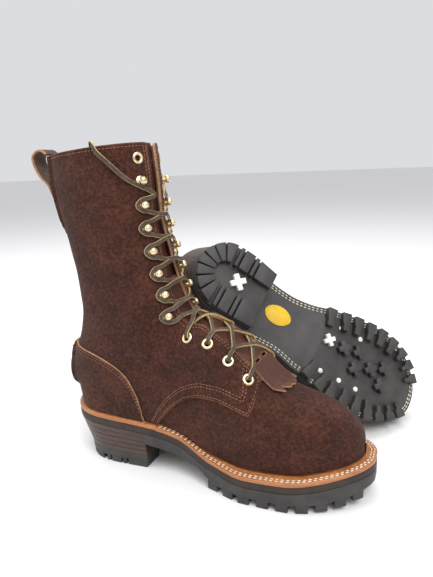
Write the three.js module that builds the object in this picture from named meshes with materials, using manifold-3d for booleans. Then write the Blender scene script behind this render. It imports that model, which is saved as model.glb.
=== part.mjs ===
// A pair of logger-style fire boots: the right boot stands, the left boot lies behind it
// on its lateral side with its sole showing. Millimetres, +Z up, toes towards +X.
import * as THREE from 'three';
import Module from 'manifold-3d';

const wasm = await Module();
wasm.setup();

// ------------------------------------------------------------- driving dimensions
const SOLE_LENGTH = 309; // outsole, heel to toe
const BALL_WIDTH = 107.5; // outsole across the ball
const SHAFT_TOP = 309; // rim above the floor, middle of its slope
const LEATHER = 2.4; // upper leather
const LAYER_GAP = 0.3; // clearance between two leather layers
const WELT_REACH = 7.5; // sole edge beyond the upper, forepart
const HEEL_REACH = 3.2; // sole edge beyond the upper, heel
const RAND_THICK = 3.8; // heel rand and leather midsole
const SLIP_THICK = 6.4; // dark rubber slip sole under the midsole
const OUTSOLE_BASE = 4.5; // rubber between the lugs and the slip sole
const LUG_DEPTH = 7; // height of the outsole lugs
const LUG_PITCH = 17.2; // lug spacing along the sole edge
const LUG_WIDTH = 11; // one lug, along the sole edge
const LUG_REACH = 21; // one lug, inwards from the sole edge
const CAP_THICK = 14; // rubber heel cap with its tread
const HEEL_BREAST = 91; // x of the heel's front face
const INSOLE_THICK = 3;
const INSOLE_CLEAR = 8.6; // insole edge inside the vamp's inner face, over the welt's reach
const FILLER_THICK = 3;
const SHANK = { x0: 60, x1: 168, width: 16, thick: 2.2 };
const FACING_MARGIN = 12; // eyelet centre to facing edge
const EYELET = { outer: 5.2, bore: 2.9, barrel: 3.6, rise: 1.0 };
const HOOK = { base: 4.4, neck: 1.5, ball: 3.5, rise: 5.6 };
const SPOT_FACE = -0.15; // lift of the leather pressed flat under a flange
const HARDWARE_STRIP = 0.5; // hidden strip that ties a row together
const BAR_LIFT = -LEATHER - 2.1;
const LACE = { width: 3.8, thick: 1.7, steps: 84, lift: 3.6, under: 4.4, over: 7.6 };
// height, degrees round from the front and lift off the leather along each lace end
const TAIL_WAYS = [[282, 38, 3.6], [296, 54, 3.8], [306.5, 66, 4.4], [313.8, 71, 0.8],
  [308, 75, -7], [290, 77, -9], [262, 79, -9], [236, 80, -9]];
const TAIL_STEPS = 20;
const TAIL_FREE = 304; // above this height the ends leave the leather
const AXIS_X = 47; // the middle of the shaft
const STRAP = { width: 20, thick: 2.4, reach: 25, drop: 43, above: 7 };
const KILTIE_HALF = 21.5; // half width of the kiltie
const LYING = { roll: -123, pitch: 36.4, yaw: 26.1, x: 159, y: 152 };
const EYELET_X = [199, 180, 159, 138]; // from the throat up
const HOOK_HEIGHTS = [156, 175.5, 195, 215.5, 236.5, 258, 279.5];
const TOP_EYELET = 299.5;

// nominal last, scaled to the driving dimensions
const NOMINAL = { length: 309, width: 107.5, top: 309, seat: 56 };
const FX = SOLE_LENGTH / NOMINAL.length;
const FY = BALL_WIDTH / NOMINAL.width;
const FZ = (SHAFT_TOP - NOMINAL.seat) / (NOMINAL.top - NOMINAL.seat);

const LEATHERS = {
  rough: [0x5a2f1e, 0.92, 0], smooth: [0x7a3f2a, 0.55, 0], lining: [0x8a6a4c, 0.8, 0],
  rand: [0xb4632a, 0.55, 0], stack: [0x2e2019, 0.6, 0], insole: [0xb98f63, 0.8, 0],
  rubber: [0x3a3634, 0.85, 0], slip: [0x2b2421, 0.8, 0], brass: [0xc9a65a, 0.3, 1],
  lace: [0x4a3f38, 0.7, 0], steel: [0x8d9094, 0.35, 1], ochre: [0xe0a800, 0.5, 0],
  pale: [0xe6e2da, 0.6, 0], cork: [0x9a7448, 0.95, 0],
};

// ------------------------------------------------------------- small maths
/** Monotone cubic through (xs, ys), held flat outside. */
function pchip(xs, ys) {
  const n = xs.length;
  const h = xs.slice(1).map((x, i) => x - xs[i]);
  const d = h.map((hi, i) => (ys[i + 1] - ys[i]) / hi);
  const m = xs.map((_, i) => {
    if (i === 0) return d[0];
    if (i === n - 1) return d[n - 2];
    if (d[i - 1] * d[i] <= 0) return 0;
    const w1 = 2 * h[i] + h[i - 1], w2 = h[i] + 2 * h[i - 1];
    return (w1 + w2) / (w1 / d[i - 1] + w2 / d[i]);
  });
  return (x) => {
    if (x <= xs[0]) return ys[0];
    if (x >= xs[n - 1]) return ys[n - 1];
    let i = 0;
    while (x > xs[i + 1]) i += 1;
    const t = (x - xs[i]) / h[i], u = 1 - t;
    return ys[i] * u * u * (1 + 2 * t) + ys[i + 1] * t * t * (3 - 2 * t)
      + h[i] * (m[i] * t * u * u - m[i + 1] * t * t * u);
  };
}
const clamp = (v, lo, hi) => Math.min(hi, Math.max(lo, v));
const lerp = (a, b, t) => a + (b - a) * t;
/** A superellipse end: 1 in the middle, falling to 0 at reach. */
const endCap = (d, reach, p) => (d <= 0 ? 1 : Math.max(0, 1 - (d / reach) ** p) ** (1 / p));
const smoothMin = (a, b, k) => {
  const h = clamp(0.5 + (b - a) / (2 * k), 0, 1);
  return lerp(b, a, h) - k * h * (1 - h);
};

// ------------------------------------------------------------- sole outline and heights
const lateralBase = pchip([-4, 20, 50, 85, 125, 165, 200, 235, 265, 305],
  [36, 39.5, 41.5, 40, 37.5, 48, 57, 56, 51, 40]);
const medialBase = pchip([-4, 20, 50, 85, 125, 165, 200, 235, 265, 305],
  [36, 39, 39.5, 36, 31.5, 37, 46, 50.5, 50, 44]);
const SOLE_BACK = -4, SOLE_TIP = 305;

/** Half width of the sole, or of a piece inset from its edge; side -1 lateral, +1 medial. */
function soleHalf(side, xReal, inset = 0) {
  const x = xReal / FX, i = inset;
  const base = (side < 0 ? lateralBase(x) : medialBase(x)) * FY - i;
  const heel = endCap(36 - x, 36 - SOLE_BACK - i / FX, 2.1);
  const toe = endCap(x - 225, SOLE_TIP - 225 - i / FX, 2.3);
  return Math.max(0, base * heel * toe);
}
const STATIONS = [-3.6, -2, 2, 9, 20, 36, 56, 74, 91, 106, 120, 134, 148, 163, 180, 200, 222,
  242, 260, 275, 287, 296, 301.5, 304.4].map((x) => x * FX);
const topSmooth = pchip([-4, 50, 85, 106, 125, 145, 165, 200, 240, 280, 305],
  [54, 51.5, 49.5, 47, 42.5, 35.5, 30, 27, 28.5, 34, 38]);
const floorSmooth = pchip([91, 150, 170, 240, 280, 305], [21, 9, 0, 0, 4, 10]);

/** Straight lines between the stations, so that stacked layers share every kink. */
function faceted(fn) {
  const zs = STATIONS.map((x) => fn(x / FX));
  return (x) => {
    if (x <= STATIONS[0]) return zs[0];
    for (let i = 1; i < STATIONS.length; i += 1) {
      if (x <= STATIONS[i]) {
        return lerp(zs[i - 1], zs[i], (x - STATIONS[i - 1]) / (STATIONS[i] - STATIONS[i - 1]));
      }
    }
    return zs[zs.length - 1];
  };
}
const soleTop = faceted(topSmooth);
const soleFloor = faceted(floorSmooth);

// ------------------------------------------------------------- the upper's shape
const crest = pchip([0, 30, 60, 100, 125, 145, 162, 180, 193, 202, 210, 220, 232, 245, 260, 275, 290],
  [88, 100, 122, 142, 149, 150, 142, 131, 122, 114, 106, 98, 92, 88.5, 85, 81, 76]);
// the upper's own half widths, 0.3 mm or more inside the sole edge at heel and forepart
const upperLateral = pchip([0, 20, 50, 85, 125, 150, 165, 180, 200, 235, 265, 305],
  [33, 36.5, 38.5, 38, 39, 42, 44.5, 47, 49.5, 48.5, 43.5, 34]);
const upperMedial = pchip([0, 20, 50, 85, 125, 150, 165, 180, 200, 235, 265, 305],
  [33, 36, 37, 37, 38.5, 40, 41, 42, 42.5, 43.5, 42.5, 37]);
const tuck = pchip([0, 60, 100, 160, 195, 297], [30, 30, 18, 17, 26, 26]);
const boxiness = pchip([0, 60, 120, 175, 210, 240, 297], [2.3, 2.4, 2.9, 3.6, 3.1, 2.5, 2.3]);
const legZ = [60, 75, 90, 105, 120, 140, 160, 190, 220, 250, 280, 316];
const legBack = pchip(legZ, [-5, -5.5, -4, -1, 4.5, 12, 15.5, 12.5, 5.5, -2, -6.5, -7]);
const legFront = pchip(legZ, [100, 104, 108, 114, 120, 124, 122, 113.5, 106.5, 101, 100, 97]);
const legHalf = pchip(legZ, [31, 34, 35.5, 37, 39, 41, 41, 40.5, 40, 41, 42, 41.5]);

/** Below zero inside the foot part of the upper. */
function footField(x, y, z) {
  const side = y < 0 ? -1 : 1;
  const low = topSmooth(x);
  const mid = low + lerp(14, 10, clamp(x / 250, 0, 1));
  const heel = endCap(36 - x, 33, 2.1), toe = endCap(x - 228, 297 - 228, 2.35);
  const trim = lerp(HEEL_REACH - 3.2, WELT_REACH - 7.5, clamp((x - 90) / 80, 0, 1));
  const base = (side < 0 ? upperLateral(x) : upperMedial(x)) - trim;
  const w = base * heel * toe;
  const up = (crest(x) - mid) * Math.max(heel, 0.4) * endCap(x - 250, 297 - 250, 2.6);
  if (w < 0.5 || up < 0.5) return Math.max(0.05, (x - 150) / 150 - 0.9) + 0.05;
  const n = boxiness(x);
  const h = z > mid ? up : tuck(x);
  return ((Math.abs(y) / w) ** n + (Math.abs(z - mid) / h) ** n) ** (1 / n) - 1;
}
/** Below zero inside the shaft. */
function legField(x, y, z) {
  const b = legBack(z), f = legFront(z);
  const shrink = z < 92 ? endCap(92 - z, 40, 2.2) : 1;
  if (shrink < 0.05) return 1;
  const cx = (b + f) / 2, a = ((f - b) / 2) * shrink, w = legHalf(z) * shrink;
  const m = lerp(2.6, 2.2, clamp((z - 170) / 70, 0, 1));
  return ((Math.abs(x - cx) / a) ** m + (Math.abs(y) / w) ** m) ** (1 / m) - 1;
}
const toNominal = (p) => new THREE.Vector3(p.x / FX, p.y / FY,
  p.z <= NOMINAL.seat ? p.z : NOMINAL.seat + (p.z - NOMINAL.seat) / FZ);
const toReal = (x, y, z) => new THREE.Vector3(x * FX, y * FY,
  z <= NOMINAL.seat ? z : NOMINAL.seat + (z - NOMINAL.seat) * FZ);
const field = (p) => {
  const q = toNominal(p);
  return smoothMin(footField(q.x, q.y, q.z) * 45, legField(q.x, q.y, q.z) * 45, 15);
};
function normalAt(p) {
  const e = 0.4, n = new THREE.Vector3();
  for (const k of ['x', 'y', 'z']) {
    const a = p.clone(), b = p.clone();
    a[k] += e; b[k] -= e;
    n[k] = field(a) - field(b);
  }
  return n.normalize();
}
/** The surface point on the ray from o along d. */
function cast(o, d) {
  const at = (r) => o.clone().addScaledVector(d, r);
  let lo = 0, hi = 0;
  while (hi < 400 && field(at(hi)) < 0) { lo = hi; hi += 5; }
  for (let i = 0; i < 22; i += 1) {
    const mid = (lo + hi) / 2;
    if (field(at(mid)) < 0) lo = mid; else hi = mid;
  }
  return at(lo);
}

// rings from the toe to the rim: crest point and sole or back point of each section plane
const RING = {
  s: [0, 1, 2, 3, 4, 5, 6, 7, 8, 9, 10, 11, 12, 13, 14, 15, 16],
  cx: [284, 268, 248, 228, 210, 194, 179, 164, 150, 139, 131, 124, 119, 111, 104, 100, 97],
  cz: [74, 82, 88, 95, 110, 127, 138, 146, 152, 157, 162, 170, 182, 210, 240, 275, 314],
  bx: [284, 268, 248, 227, 207, 188, 166, 138, 104, 66, 24, -4, -2, 8, 15, 2, -7],
  bz: [42, 38, 34, 30, 28, 28, 32, 38, 45, 50, 54, 66, 98, 140, 190, 246, 305],
};
const ringAt = Object.fromEntries(['cx', 'cz', 'bx', 'bz'].map((k) => [k, pchip(RING.s, RING[k])]));
const LAST_RING = 16;

/** A surface point at ring s (0 toe to LAST_RING rim) and angle a (0 crest, +-180 sole/back). */
function upperPoint(s, a) {
  const c = toReal(ringAt.cx(s), 0, ringAt.cz(s)), b = toReal(ringAt.bx(s), 0, ringAt.bz(s));
  const o = c.clone().add(b).multiplyScalar(0.5);
  const up = c.clone().sub(b).normalize();
  const d = up.multiplyScalar(Math.cos(a)).add(new THREE.Vector3(0, Math.sin(a), 0));
  return cast(o, d.normalize());
}
/** A point of the toe cap: tilt 0 is ring 0, 90 degrees is straight ahead. */
function toePoint(tilt, a) {
  const o = toReal(RING.cx[0], 0, (RING.cz[0] + RING.bz[0]) / 2);
  const d = new THREE.Vector3(Math.sin(tilt), Math.sin(a) * Math.cos(tilt),
    Math.cos(a) * Math.cos(tilt));
  return cast(o, d);
}

/** The whole sock from toe to rim as shared vertices and triangles. */
function makeSock(columns, ringStep, toeRows) {
  const points = [toePoint(Math.PI / 2, 0)], rows = [];
  const angles = Array.from({ length: columns }, (_, i) => (i / columns) * 2 * Math.PI);
  const addRow = (fn) => rows.push(angles.map((a) => points.push(fn(a)) - 1));
  for (let j = toeRows; j >= 1; j -= 1) addRow((a) => toePoint((j / (toeRows + 1)) * Math.PI / 2, a));
  const count = Math.round(LAST_RING / ringStep);
  for (let j = 0; j <= count; j += 1) addRow((a) => upperPoint((j / count) * LAST_RING, a));
  const tris = [];
  for (let i = 0; i < columns; i += 1) tris.push([0, rows[0][(i + 1) % columns], rows[0][i]]);
  for (let j = 0; j + 1 < rows.length; j += 1) {
    for (let i = 0; i < columns; i += 1) {
      const k = (i + 1) % columns;
      const [a, b, c, d] = [rows[j][i], rows[j][k], rows[j + 1][k], rows[j + 1][i]];
      tris.push([a, b, c], [a, c, d]);
    }
  }
  const centre = points.reduce((s, p) => s.add(p), new THREE.Vector3()).divideScalar(points.length);
  const [a, b, c] = tris[0].map((i) => points[i]);
  const n = b.clone().sub(a).cross(c.clone().sub(a));
  if (n.dot(a.clone().sub(centre)) < 0) tris.forEach((t) => t.reverse());
  return { points, tris, normals: points.map(normalAt) };
}
const sock = makeSock(20, 1.0, 2);

// ------------------------------------------------------------- panels cut from the sock
const gapHalf = pchip([80, 118, 130, 148, 158, 175, 195, 215, 240, 300],
  [23, 23, 19.5, 15.5, 13.5, 11.5, 10.5, 9.5, 8.5, 7.5]);
const seamHeight = pchip([80, 100, 109, 118, 130, 145, 157, 170, 185, 203],
  [0, 40, 55, 66, 77, 85, 88, 88, 85, 79.5]);
const tabFront = pchip([70, 79, 85, 92, 100, 104, 108, 116], [199, 202, 205, 207, 208.5, 208.4, 207, 205]);
const counterTop = pchip([-8, 10, 33, 55, 74, 84, 90, 95], [119, 119, 116.5, 109, 97, 80, 60, 30]);
const rimHeight = (x) => SHAFT_TOP + 4.5 * clamp((x / FX - 46) / 52, -1, 1);

const above = (p) => p.z - soleTop(p.x) - 0.6;
const belowRim = (p) => rimHeight(p.x) - p.z;
/** Above zero on the quarters' side of the seam with the vamp. */
function quarterSide(p) {
  const q = toNominal(p);
  return Math.min((q.z - seamHeight(q.x)) * 0.9, tabFront(q.z) - q.x);
}
/** Above zero outside the lacing gap; the back of the shaft is always outside. */
function facingSide(p, margin = 0) {
  const q = toNominal(p);
  return q.x < 45 ? 50 : Math.abs(q.y) - gapHalf(q.z) - margin;
}

/** Keeps the sock where inside(p) > 0 and gives it thickness from lift lo to hi (functions of p). */
function panel(inside, lo, hi) {
  const value = sock.points.map(inside);
  const pts = [], ids = new Map();
  const vertex = (i, j) => {
    const key = i === j ? `${i}` : `${Math.min(i, j)}_${Math.max(i, j)}`;
    if (!ids.has(key)) {
      const t = i === j ? 0 : clamp(value[i] / (value[i] - value[j]), 0.04, 0.96);
      const p = sock.points[i].clone().lerp(sock.points[j], t);
      const n = sock.normals[i].clone().lerp(sock.normals[j], t).normalize();
      pts.push({ p, n });
      ids.set(key, pts.length - 1);
    }
    return ids.get(key);
  };
  const faces = [];
  for (const tri of sock.tris) {
    const poly = [];
    for (let k = 0; k < 3; k += 1) {
      const i = tri[k], j = tri[(k + 1) % 3];
      if (value[i] > 0) poly.push(vertex(i, i));
      if ((value[i] > 0) !== (value[j] > 0)) {
        poly.push(value[i] > 0 ? vertex(i, j) : vertex(j, i));
      }
    }
    for (let k = 1; k + 1 < poly.length; k += 1) faces.push([poly[0], poly[k], poly[k + 1]]);
  }
  const kept = largestIsland(faces, pts.length);
  const n = pts.length, out = [];
  const coords = [hi, lo].flatMap((lift) => pts.map(({ p, n: m }) => {
    const v = p.clone().addScaledVector(m, lift(p));
    return [v.x, v.y, v.z];
  }));
  const edges = new Map();
  for (const [a, b, c] of kept) {
    out.push([a, b, c], [a + n, c + n, b + n]);
    for (const [u, v] of [[a, b], [b, c], [c, a]]) edges.set(`${u}_${v}`, [u, v]);
  }
  for (const [u, v] of edges.values()) {
    if (!edges.has(`${v}_${u}`)) out.push([u, u + n, v], [v, u + n, v + n]);
  }
  return toGeometry(coords, out);
}
function largestIsland(faces, count) {
  const parent = Array.from({ length: count }, (_, i) => i);
  const find = (i) => { while (parent[i] !== i) { parent[i] = parent[parent[i]]; i = parent[i]; } return i; };
  for (const [a, b, c] of faces) { parent[find(a)] = find(b); parent[find(b)] = find(c); }
  const size = new Map();
  for (const f of faces) size.set(find(f[0]), (size.get(find(f[0])) || 0) + 1);
  const best = [...size.entries()].sort((a, b) => b[1] - a[1])[0][0];
  return faces.filter((f) => find(f[0]) === best);
}
function toGeometry(coords, tris) {
  const used = new Map(), pos = [], index = [];
  for (const t of tris) {
    for (const i of t) {
      if (!used.has(i)) { used.set(i, pos.length / 3); pos.push(...coords[i]); }
      index.push(used.get(i));
    }
  }
  const g = new THREE.BufferGeometry();
  g.setAttribute('position', new THREE.Float32BufferAttribute(pos, 3));
  g.setIndex(index);
  return g;
}

// ------------------------------------------------------------- booleans
function solid(geometry) {
  const pos = geometry.getAttribute('position');
  const m = new wasm.Mesh({ numProp: 3, vertProperties: new Float32Array(pos.array),
    triVerts: new Uint32Array(geometry.getIndex().array) });
  m.merge();
  return new wasm.Manifold(m);
}
function geometryOf(manifold) {
  const m = manifold.getMesh();
  const coords = [];
  for (let i = 0; i < m.numVert; i += 1) {
    coords.push([0, 1, 2].map((k) => m.vertProperties[i * m.numProp + k]));
  }
  const tris = [];
  for (let i = 0; i < m.numTri; i += 1) tris.push([0, 1, 2].map((k) => m.triVerts[i * 3 + k]));
  return toGeometry(coords, tris);
}
const minus = (g, cutters) => geometryOf(cutters.reduce((m, c) => m.subtract(solid(c)), solid(g)));
const plus = (g, more) => geometryOf(more.reduce((m, c) => m.add(solid(c)), solid(g)));

/** A closed solid of revolution about the local axis n at p; profile points are [radius, height]. */
function turned(p, n, profile, segments) {
  const coords = [], tris = [];
  const q = new THREE.Quaternion().setFromUnitVectors(new THREE.Vector3(0, 0, 1), n);
  const put = (r, h, a) => {
    const v = new THREE.Vector3(r * Math.cos(a), r * Math.sin(a), h).applyQuaternion(q).add(p);
    return coords.push([v.x, v.y, v.z]) - 1;
  };
  const closed = profile[0][0] > 0;
  const rings = profile.map(([r, h]) => (r === 0 ? Array(segments).fill(put(0, h, 0))
    : Array.from({ length: segments }, (_, i) => put(r, h, (i / segments) * 2 * Math.PI))));
  const last = closed ? rings.length : rings.length - 1;
  for (let j = 0; j < last; j += 1) {
    const a = rings[j], b = rings[(j + 1) % rings.length];
    for (let i = 0; i < segments; i += 1) {
      const k = (i + 1) % segments;
      if (a[i] !== a[k]) tris.push([a[i], a[k], b[i]]);
      if (b[i] !== b[k]) tris.push([a[k], b[k], b[i]]);
    }
  }
  return toGeometry(coords, tris);
}

// ------------------------------------------------------------- slabs of the sole
/** A slab over rows of {x, l, m}: from y=-l to y=m, with a top and a bottom row list. */
function slab(top, bottom) {
  const coords = [], tris = [];
  top.forEach((t, i) => {
    const b = bottom[i];
    coords.push([t.x, -t.l, t.z], [t.x, t.m, t.z], [b.x, b.m, b.z], [b.x, -b.l, b.z]);
  });
  const quad = (a, b, c, d) => tris.push([a, b, c], [a, c, d]);
  for (let i = 0; i + 1 < top.length; i += 1) {
    const a = 4 * i, b = a + 4;
    for (let k = 0; k < 4; k += 1) quad(a + k, b + k, b + ((k + 1) % 4), a + ((k + 1) % 4));
  }
  const e = 4 * (top.length - 1);
  quad(0, 1, 2, 3);
  quad(e + 3, e + 2, e + 1, e);
  return toGeometry(coords, tris);
}
function stationsBetween(x0, x1) {
  return [x0, ...STATIONS.filter((x) => x > x0 + 0.8 && x < x1 - 0.8), x1];
}
/** A sole layer between two heights, inset from the sole edge. */
function layer(x0, x1, inset, zTop, zBottom) {
  const row = (z) => stationsBetween(x0, x1).map((x) => ({ x, z: z(x),
    l: Math.max(2, soleHalf(-1, x, inset)), m: Math.max(2, soleHalf(1, x, inset)) }));
  return slab(row(zTop), row(zBottom));
}
/** A prism on a plan outline of [x, y] corners, from z0 to z1. */
function prism(corners, z0, z1) {
  const shape = new THREE.Shape(corners.map(([x, y]) => new THREE.Vector2(x, y)));
  const g = new THREE.ExtrudeGeometry(shape, { depth: z1 - z0, bevelEnabled: false });
  g.translate(0, 0, z0);
  const merged = new wasm.Mesh({ numProp: 3,
    vertProperties: new Float32Array(g.getAttribute('position').array),
    triVerts: Uint32Array.from({ length: g.getAttribute('position').count }, (_, i) => i) });
  merged.merge();
  return geometryOf(new wasm.Manifold(merged));
}
const box = (x0, x1, y0, y1, z0, z1) => prism([[x0, y0], [x1, y0], [x1, y1], [x0, y1]], z0, z1);

const midBottom = (x) => soleTop(x) - RAND_THICK;
const slipTop = (x) => midBottom(x) - LAYER_GAP;
const slipBottom = (x) => slipTop(x) - SLIP_THICK;
const outsoleTop = (x) => slipBottom(x) - LAYER_GAP;

/** Lug places along one edge of the outsole: edge point and inward direction. */
function edgeLugs(side) {
  const places = [], dx = 0.5;
  let run = LUG_PITCH * 0.5;
  for (let x = 158 * FX; x < 303 * FX; x += dx) {
    const y0 = soleHalf(side, x), y1 = soleHalf(side, x + dx);
    run += Math.hypot(dx, y1 - y0);
    if (run >= LUG_PITCH) {
      run -= LUG_PITCH;
      const t = new THREE.Vector2(dx, side * (y1 - y0)).normalize();
      places.push({ at: new THREE.Vector2(x, side * y0), along: t,
        inward: new THREE.Vector2(t.y * side, -t.x * side) });
    }
  }
  return places;
}
function lugPrism({ at, along, inward }) {
  const toeward = at.x > 262 * FX;
  const reach = toeward ? LUG_REACH * 0.8 : LUG_REACH, half = LUG_WIDTH / 2;
  const taper = toeward ? 0.55 : 0.85;
  const corner = (u, v) => [at.x + along.x * u + inward.x * v, at.y + along.y * u + inward.y * v];
  const z = soleFloor(at.x);
  return prism([corner(-half, 0.6), corner(-half * taper, reach), corner(half * taper, reach),
    corner(half, 0.6)], z, z + LUG_DEPTH + 1.5);
}
/** A four-armed cross lug about (x, y). */
function crossLug(x, y, z0, z1, arm = 8, half = 3) {
  const pts = [];
  for (let i = 0; i < 4; i += 1) {
    const a = Math.PI / 4 + (i * Math.PI) / 2, c = Math.cos(a), s = Math.sin(a);
    const at = (u, v) => [x + u * c - v * s, y + u * s + v * c];
    pts.push(at(half, -half), at(arm, -half), at(arm, half));
  }
  return prism(pts, z0, z1);
}
const CROSSES = [[196, 4], [214, 10], [216, -10], [234, 0], [250, 10], [252, -10]];
const BADGE = { x: 118, y: 2, long: 15, wide: 11, thick: 0.9 };
const WHITE_CROSS = { x: 177, y: 3, arm: 7 };

function makeOutsole() {
  const bottom = (x) => soleFloor(x) + LUG_DEPTH;
  const under = (x) => Math.min(bottom(x), outsoleTop(x) - OUTSOLE_BASE);
  const base = layer(HEEL_BREAST * FX + 0.4, 304.4 * FX, 0, outsoleTop, under);
  const lugs = [...edgeLugs(-1), ...edgeLugs(1)].map(lugPrism);
  const crosses = CROSSES.map(([x, y]) => crossLug(x * FX, y * FY, soleFloor(x * FX) + 0.6,
    soleFloor(x * FX) + LUG_DEPTH + 1.5));
  return plus(base, [...lugs, ...crosses]);
}

// ------------------------------------------------------------- heel
/** Rows of the heel's outline at one level; pull draws the back and sides in. */
function heelRows(z, back, pull) {
  const x1 = HEEL_BREAST * FX;
  const us = [0, 0.03, 0.1, 0.22, 0.4, 0.62, 0.82, 1];
  return us.map((u) => {
    const x = lerp(SOLE_BACK * FX + 0.5, x1, u);
    return { x: lerp(back, x1, u), z: z(x), l: Math.max(3, soleHalf(-1, x) - pull),
      m: Math.max(3, soleHalf(1, x) - pull) };
  });
}
const HEEL_TAPER = { back: 8, sides: 3 };
function makeHeelStack() {
  return slab(heelRows((x) => slipBottom(x) - LAYER_GAP, SOLE_BACK * FX + 0.5, 0.4),
    heelRows(() => CAP_THICK + LAYER_GAP, HEEL_TAPER.back, HEEL_TAPER.sides));
}
function makeHeelCap() {
  const tread = 6.5, h = HEEL_TAPER;
  const base = slab(heelRows(() => CAP_THICK, h.back, h.sides),
    heelRows(() => tread, h.back + 0.6, h.sides + 0.2));
  const block = slab(heelRows(() => tread + 1, h.back + 0.6, h.sides + 0.2),
    heelRows(() => 0, h.back + 1.5, h.sides + 0.6));
  const cuts = [box(30 * FX, 78 * FX, -13, 13, -1, tread),
    box(74 * FX, 95 * FX, -13, 13, -1, tread)];
  for (const x of [32, 39.5, 61, 67.5]) {
    for (const side of [-1, 1]) {
      const wide = x < 35 || (x > 60 && x < 62) ? 2.4 : 2.0;
      cuts.push(box(x * FX, (x + wide) * FX, side > 0 ? 10 : -60, side > 0 ? 60 : -10, -1, tread));
    }
  }
  const treads = minus(block, cuts);
  return plus(base, [treads, crossLug(56 * FX, 0, 1, tread + 1, 9, 3)]);
}
/** The rand: a strip of the sole edge round the heel. */
function makeRand() {
  const depth = 7, x1 = 104 * FX;
  const outer = layer(SOLE_BACK * FX + 0.4, x1, 0, soleTop, midBottom);
  const inner = layer(SOLE_BACK * FX + depth, x1 + 5, depth, (x) => soleTop(x) + 2,
    (x) => midBottom(x) - 2);
  return minus(outer, [inner]);
}
function makeMidsole() {
  const x1 = 104 * FX + LAYER_GAP;
  const front = layer(x1, 304.4 * FX, 0, soleTop, midBottom);
  const rear = layer(SOLE_BACK * FX + 7.4, x1 + 1, 7.4, soleTop, midBottom);
  return plus(front, [rear]);
}
function makeFiller() {
  const inset = WELT_REACH + INSOLE_CLEAR + 2 + LEATHER;
  const z0 = (x) => soleTop(x) + LAYER_GAP;
  const sheet = layer(SOLE_BACK * FX + inset, 289 * FX, inset, (x) => z0(x) + FILLER_THICK, z0);
  return minus(sheet, [box(SHANK.x0 - 0.4, SHANK.x1 + 0.4, -SHANK.width / 2 - 0.4,
    SHANK.width / 2 + 0.4, 0, 90)]);
}
function makeShank() {
  const z0 = (x) => soleTop(x) + 2 * LAYER_GAP;
  const row = (z) => stationsBetween(SHANK.x0, SHANK.x1).map((x) => ({ x, z: z(x),
    l: SHANK.width / 2, m: SHANK.width / 2 }));
  return slab(row((x) => z0(x) + SHANK.thick), row(z0));
}
function makeInsole() {
  const inset = WELT_REACH + INSOLE_CLEAR + LEATHER;
  const z0 = (x) => soleTop(x) + FILLER_THICK + 2 * LAYER_GAP;
  return layer(SOLE_BACK * FX + inset - 2.5, 290 * FX, inset, (x) => z0(x) + INSOLE_THICK, z0);
}

// ------------------------------------------------------------- upper panels
const flat = (v) => () => v;
const VAMP_LO = -2 * LEATHER - LAYER_GAP, KILTIE_IN = VAMP_LO + 0.1;
const VAMP_UNDER = 4; // how far the vamp runs under the quarters
const vampLayer = [flat(VAMP_LO), flat(-LEATHER - LAYER_GAP)];

function makeVamp() {
  return panel((p) => Math.min(above(p), VAMP_UNDER - quarterSide(p)), ...vampLayer);
}
function makeQuarter(side) {
  const inside = (p) => Math.min(above(p), belowRim(p), quarterSide(p), facingSide(p),
    side * p.y - 0.2);
  const holes = hardwarePlaces(side).map(({ p, n, kind }) => {
    const hooked = kind === 'hook';
    const r = (hooked ? HOOK.neck : EYELET.barrel) + 0.45;
    const flange = (hooked ? HOOK.base : EYELET.outer) + 0.3;
    return turned(p, n, [[0, -7], [r, -7], [r, SPOT_FACE], [flange, SPOT_FACE], [flange, 5], [0, 5]],
      hooked ? 5 : 6);
  });
  return minus(panel(inside, flat(-LEATHER), flat(0)), holes);
}
function makeCounterCover() {
  const inside = (p) => {
    const q = toNominal(p);
    return Math.min(above(p) - 1.6, counterTop(q.x) - q.z, 92 - q.x);
  };
  return panel(inside, flat(LAYER_GAP), flat(LAYER_GAP + 1.6));
}
function makeStiffener() {
  const inside = (p) => {
    const q = toNominal(p);
    return Math.min(above(p) - 6, 100 - q.z, 70 - q.x);
  };
  return panel(inside, flat(VAMP_LO), flat(-LEATHER - LAYER_GAP));
}
function makeToePuff() {
  const inside = (p) => {
    const q = toNominal(p);
    return Math.min(above(p) - 6, q.x - 254);
  };
  return panel(inside, flat(VAMP_LO - LAYER_GAP - 1.6), flat(VAMP_LO - LAYER_GAP));
}
/** The gusseted tongue behind the lacing, from the throat to the rim. */
function makeTongue() {
  const s0 = crestX(194);
  const grid = frontGrid(11, 4, () => s0, () => LAST_RING - 0.1, (s) => gapHalf(ringAt.cz(s)) + 14);
  return patch(grid, flat(VAMP_LO - 3), flat(VAMP_LO - 1));
}
const KILTIE = { top: 188, hinge: 209, end: 230, tooth: 6, columns: 10, over: -0.9, thick: 1.8 };
/** The kiltie rises over the throat to lie on the vamp. */
const kiltieLift = (p) => lerp(VAMP_LO + 0.5, KILTIE.over, clamp((p.x / FX - 182) / 16, 0, 1));

/** The ring whose crest has this nominal value on axis k, searched between two rings. */
function ringWhere(k, value, lo, hi) {
  const rising = ringAt[k](hi) > ringAt[k](lo);
  for (let i = 0; i < 24; i += 1) {
    const mid = (lo + hi) / 2;
    if ((ringAt[k](mid) < value) === rising) lo = mid; else hi = mid;
  }
  return lo;
}
/** The surface point of ring s at a distance y from the middle plane, front side. */
function frontPoint(s, y) {
  let lo = 0, hi = 1.4, p = upperPoint(s, 0);
  for (let i = 0; i < 18; i += 1) {
    const a = (lo + hi) / 2;
    p = upperPoint(s, Math.sign(y) * a);
    if (Math.abs(p.y) < Math.abs(y)) lo = a; else hi = a;
  }
  return p;
}
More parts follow.
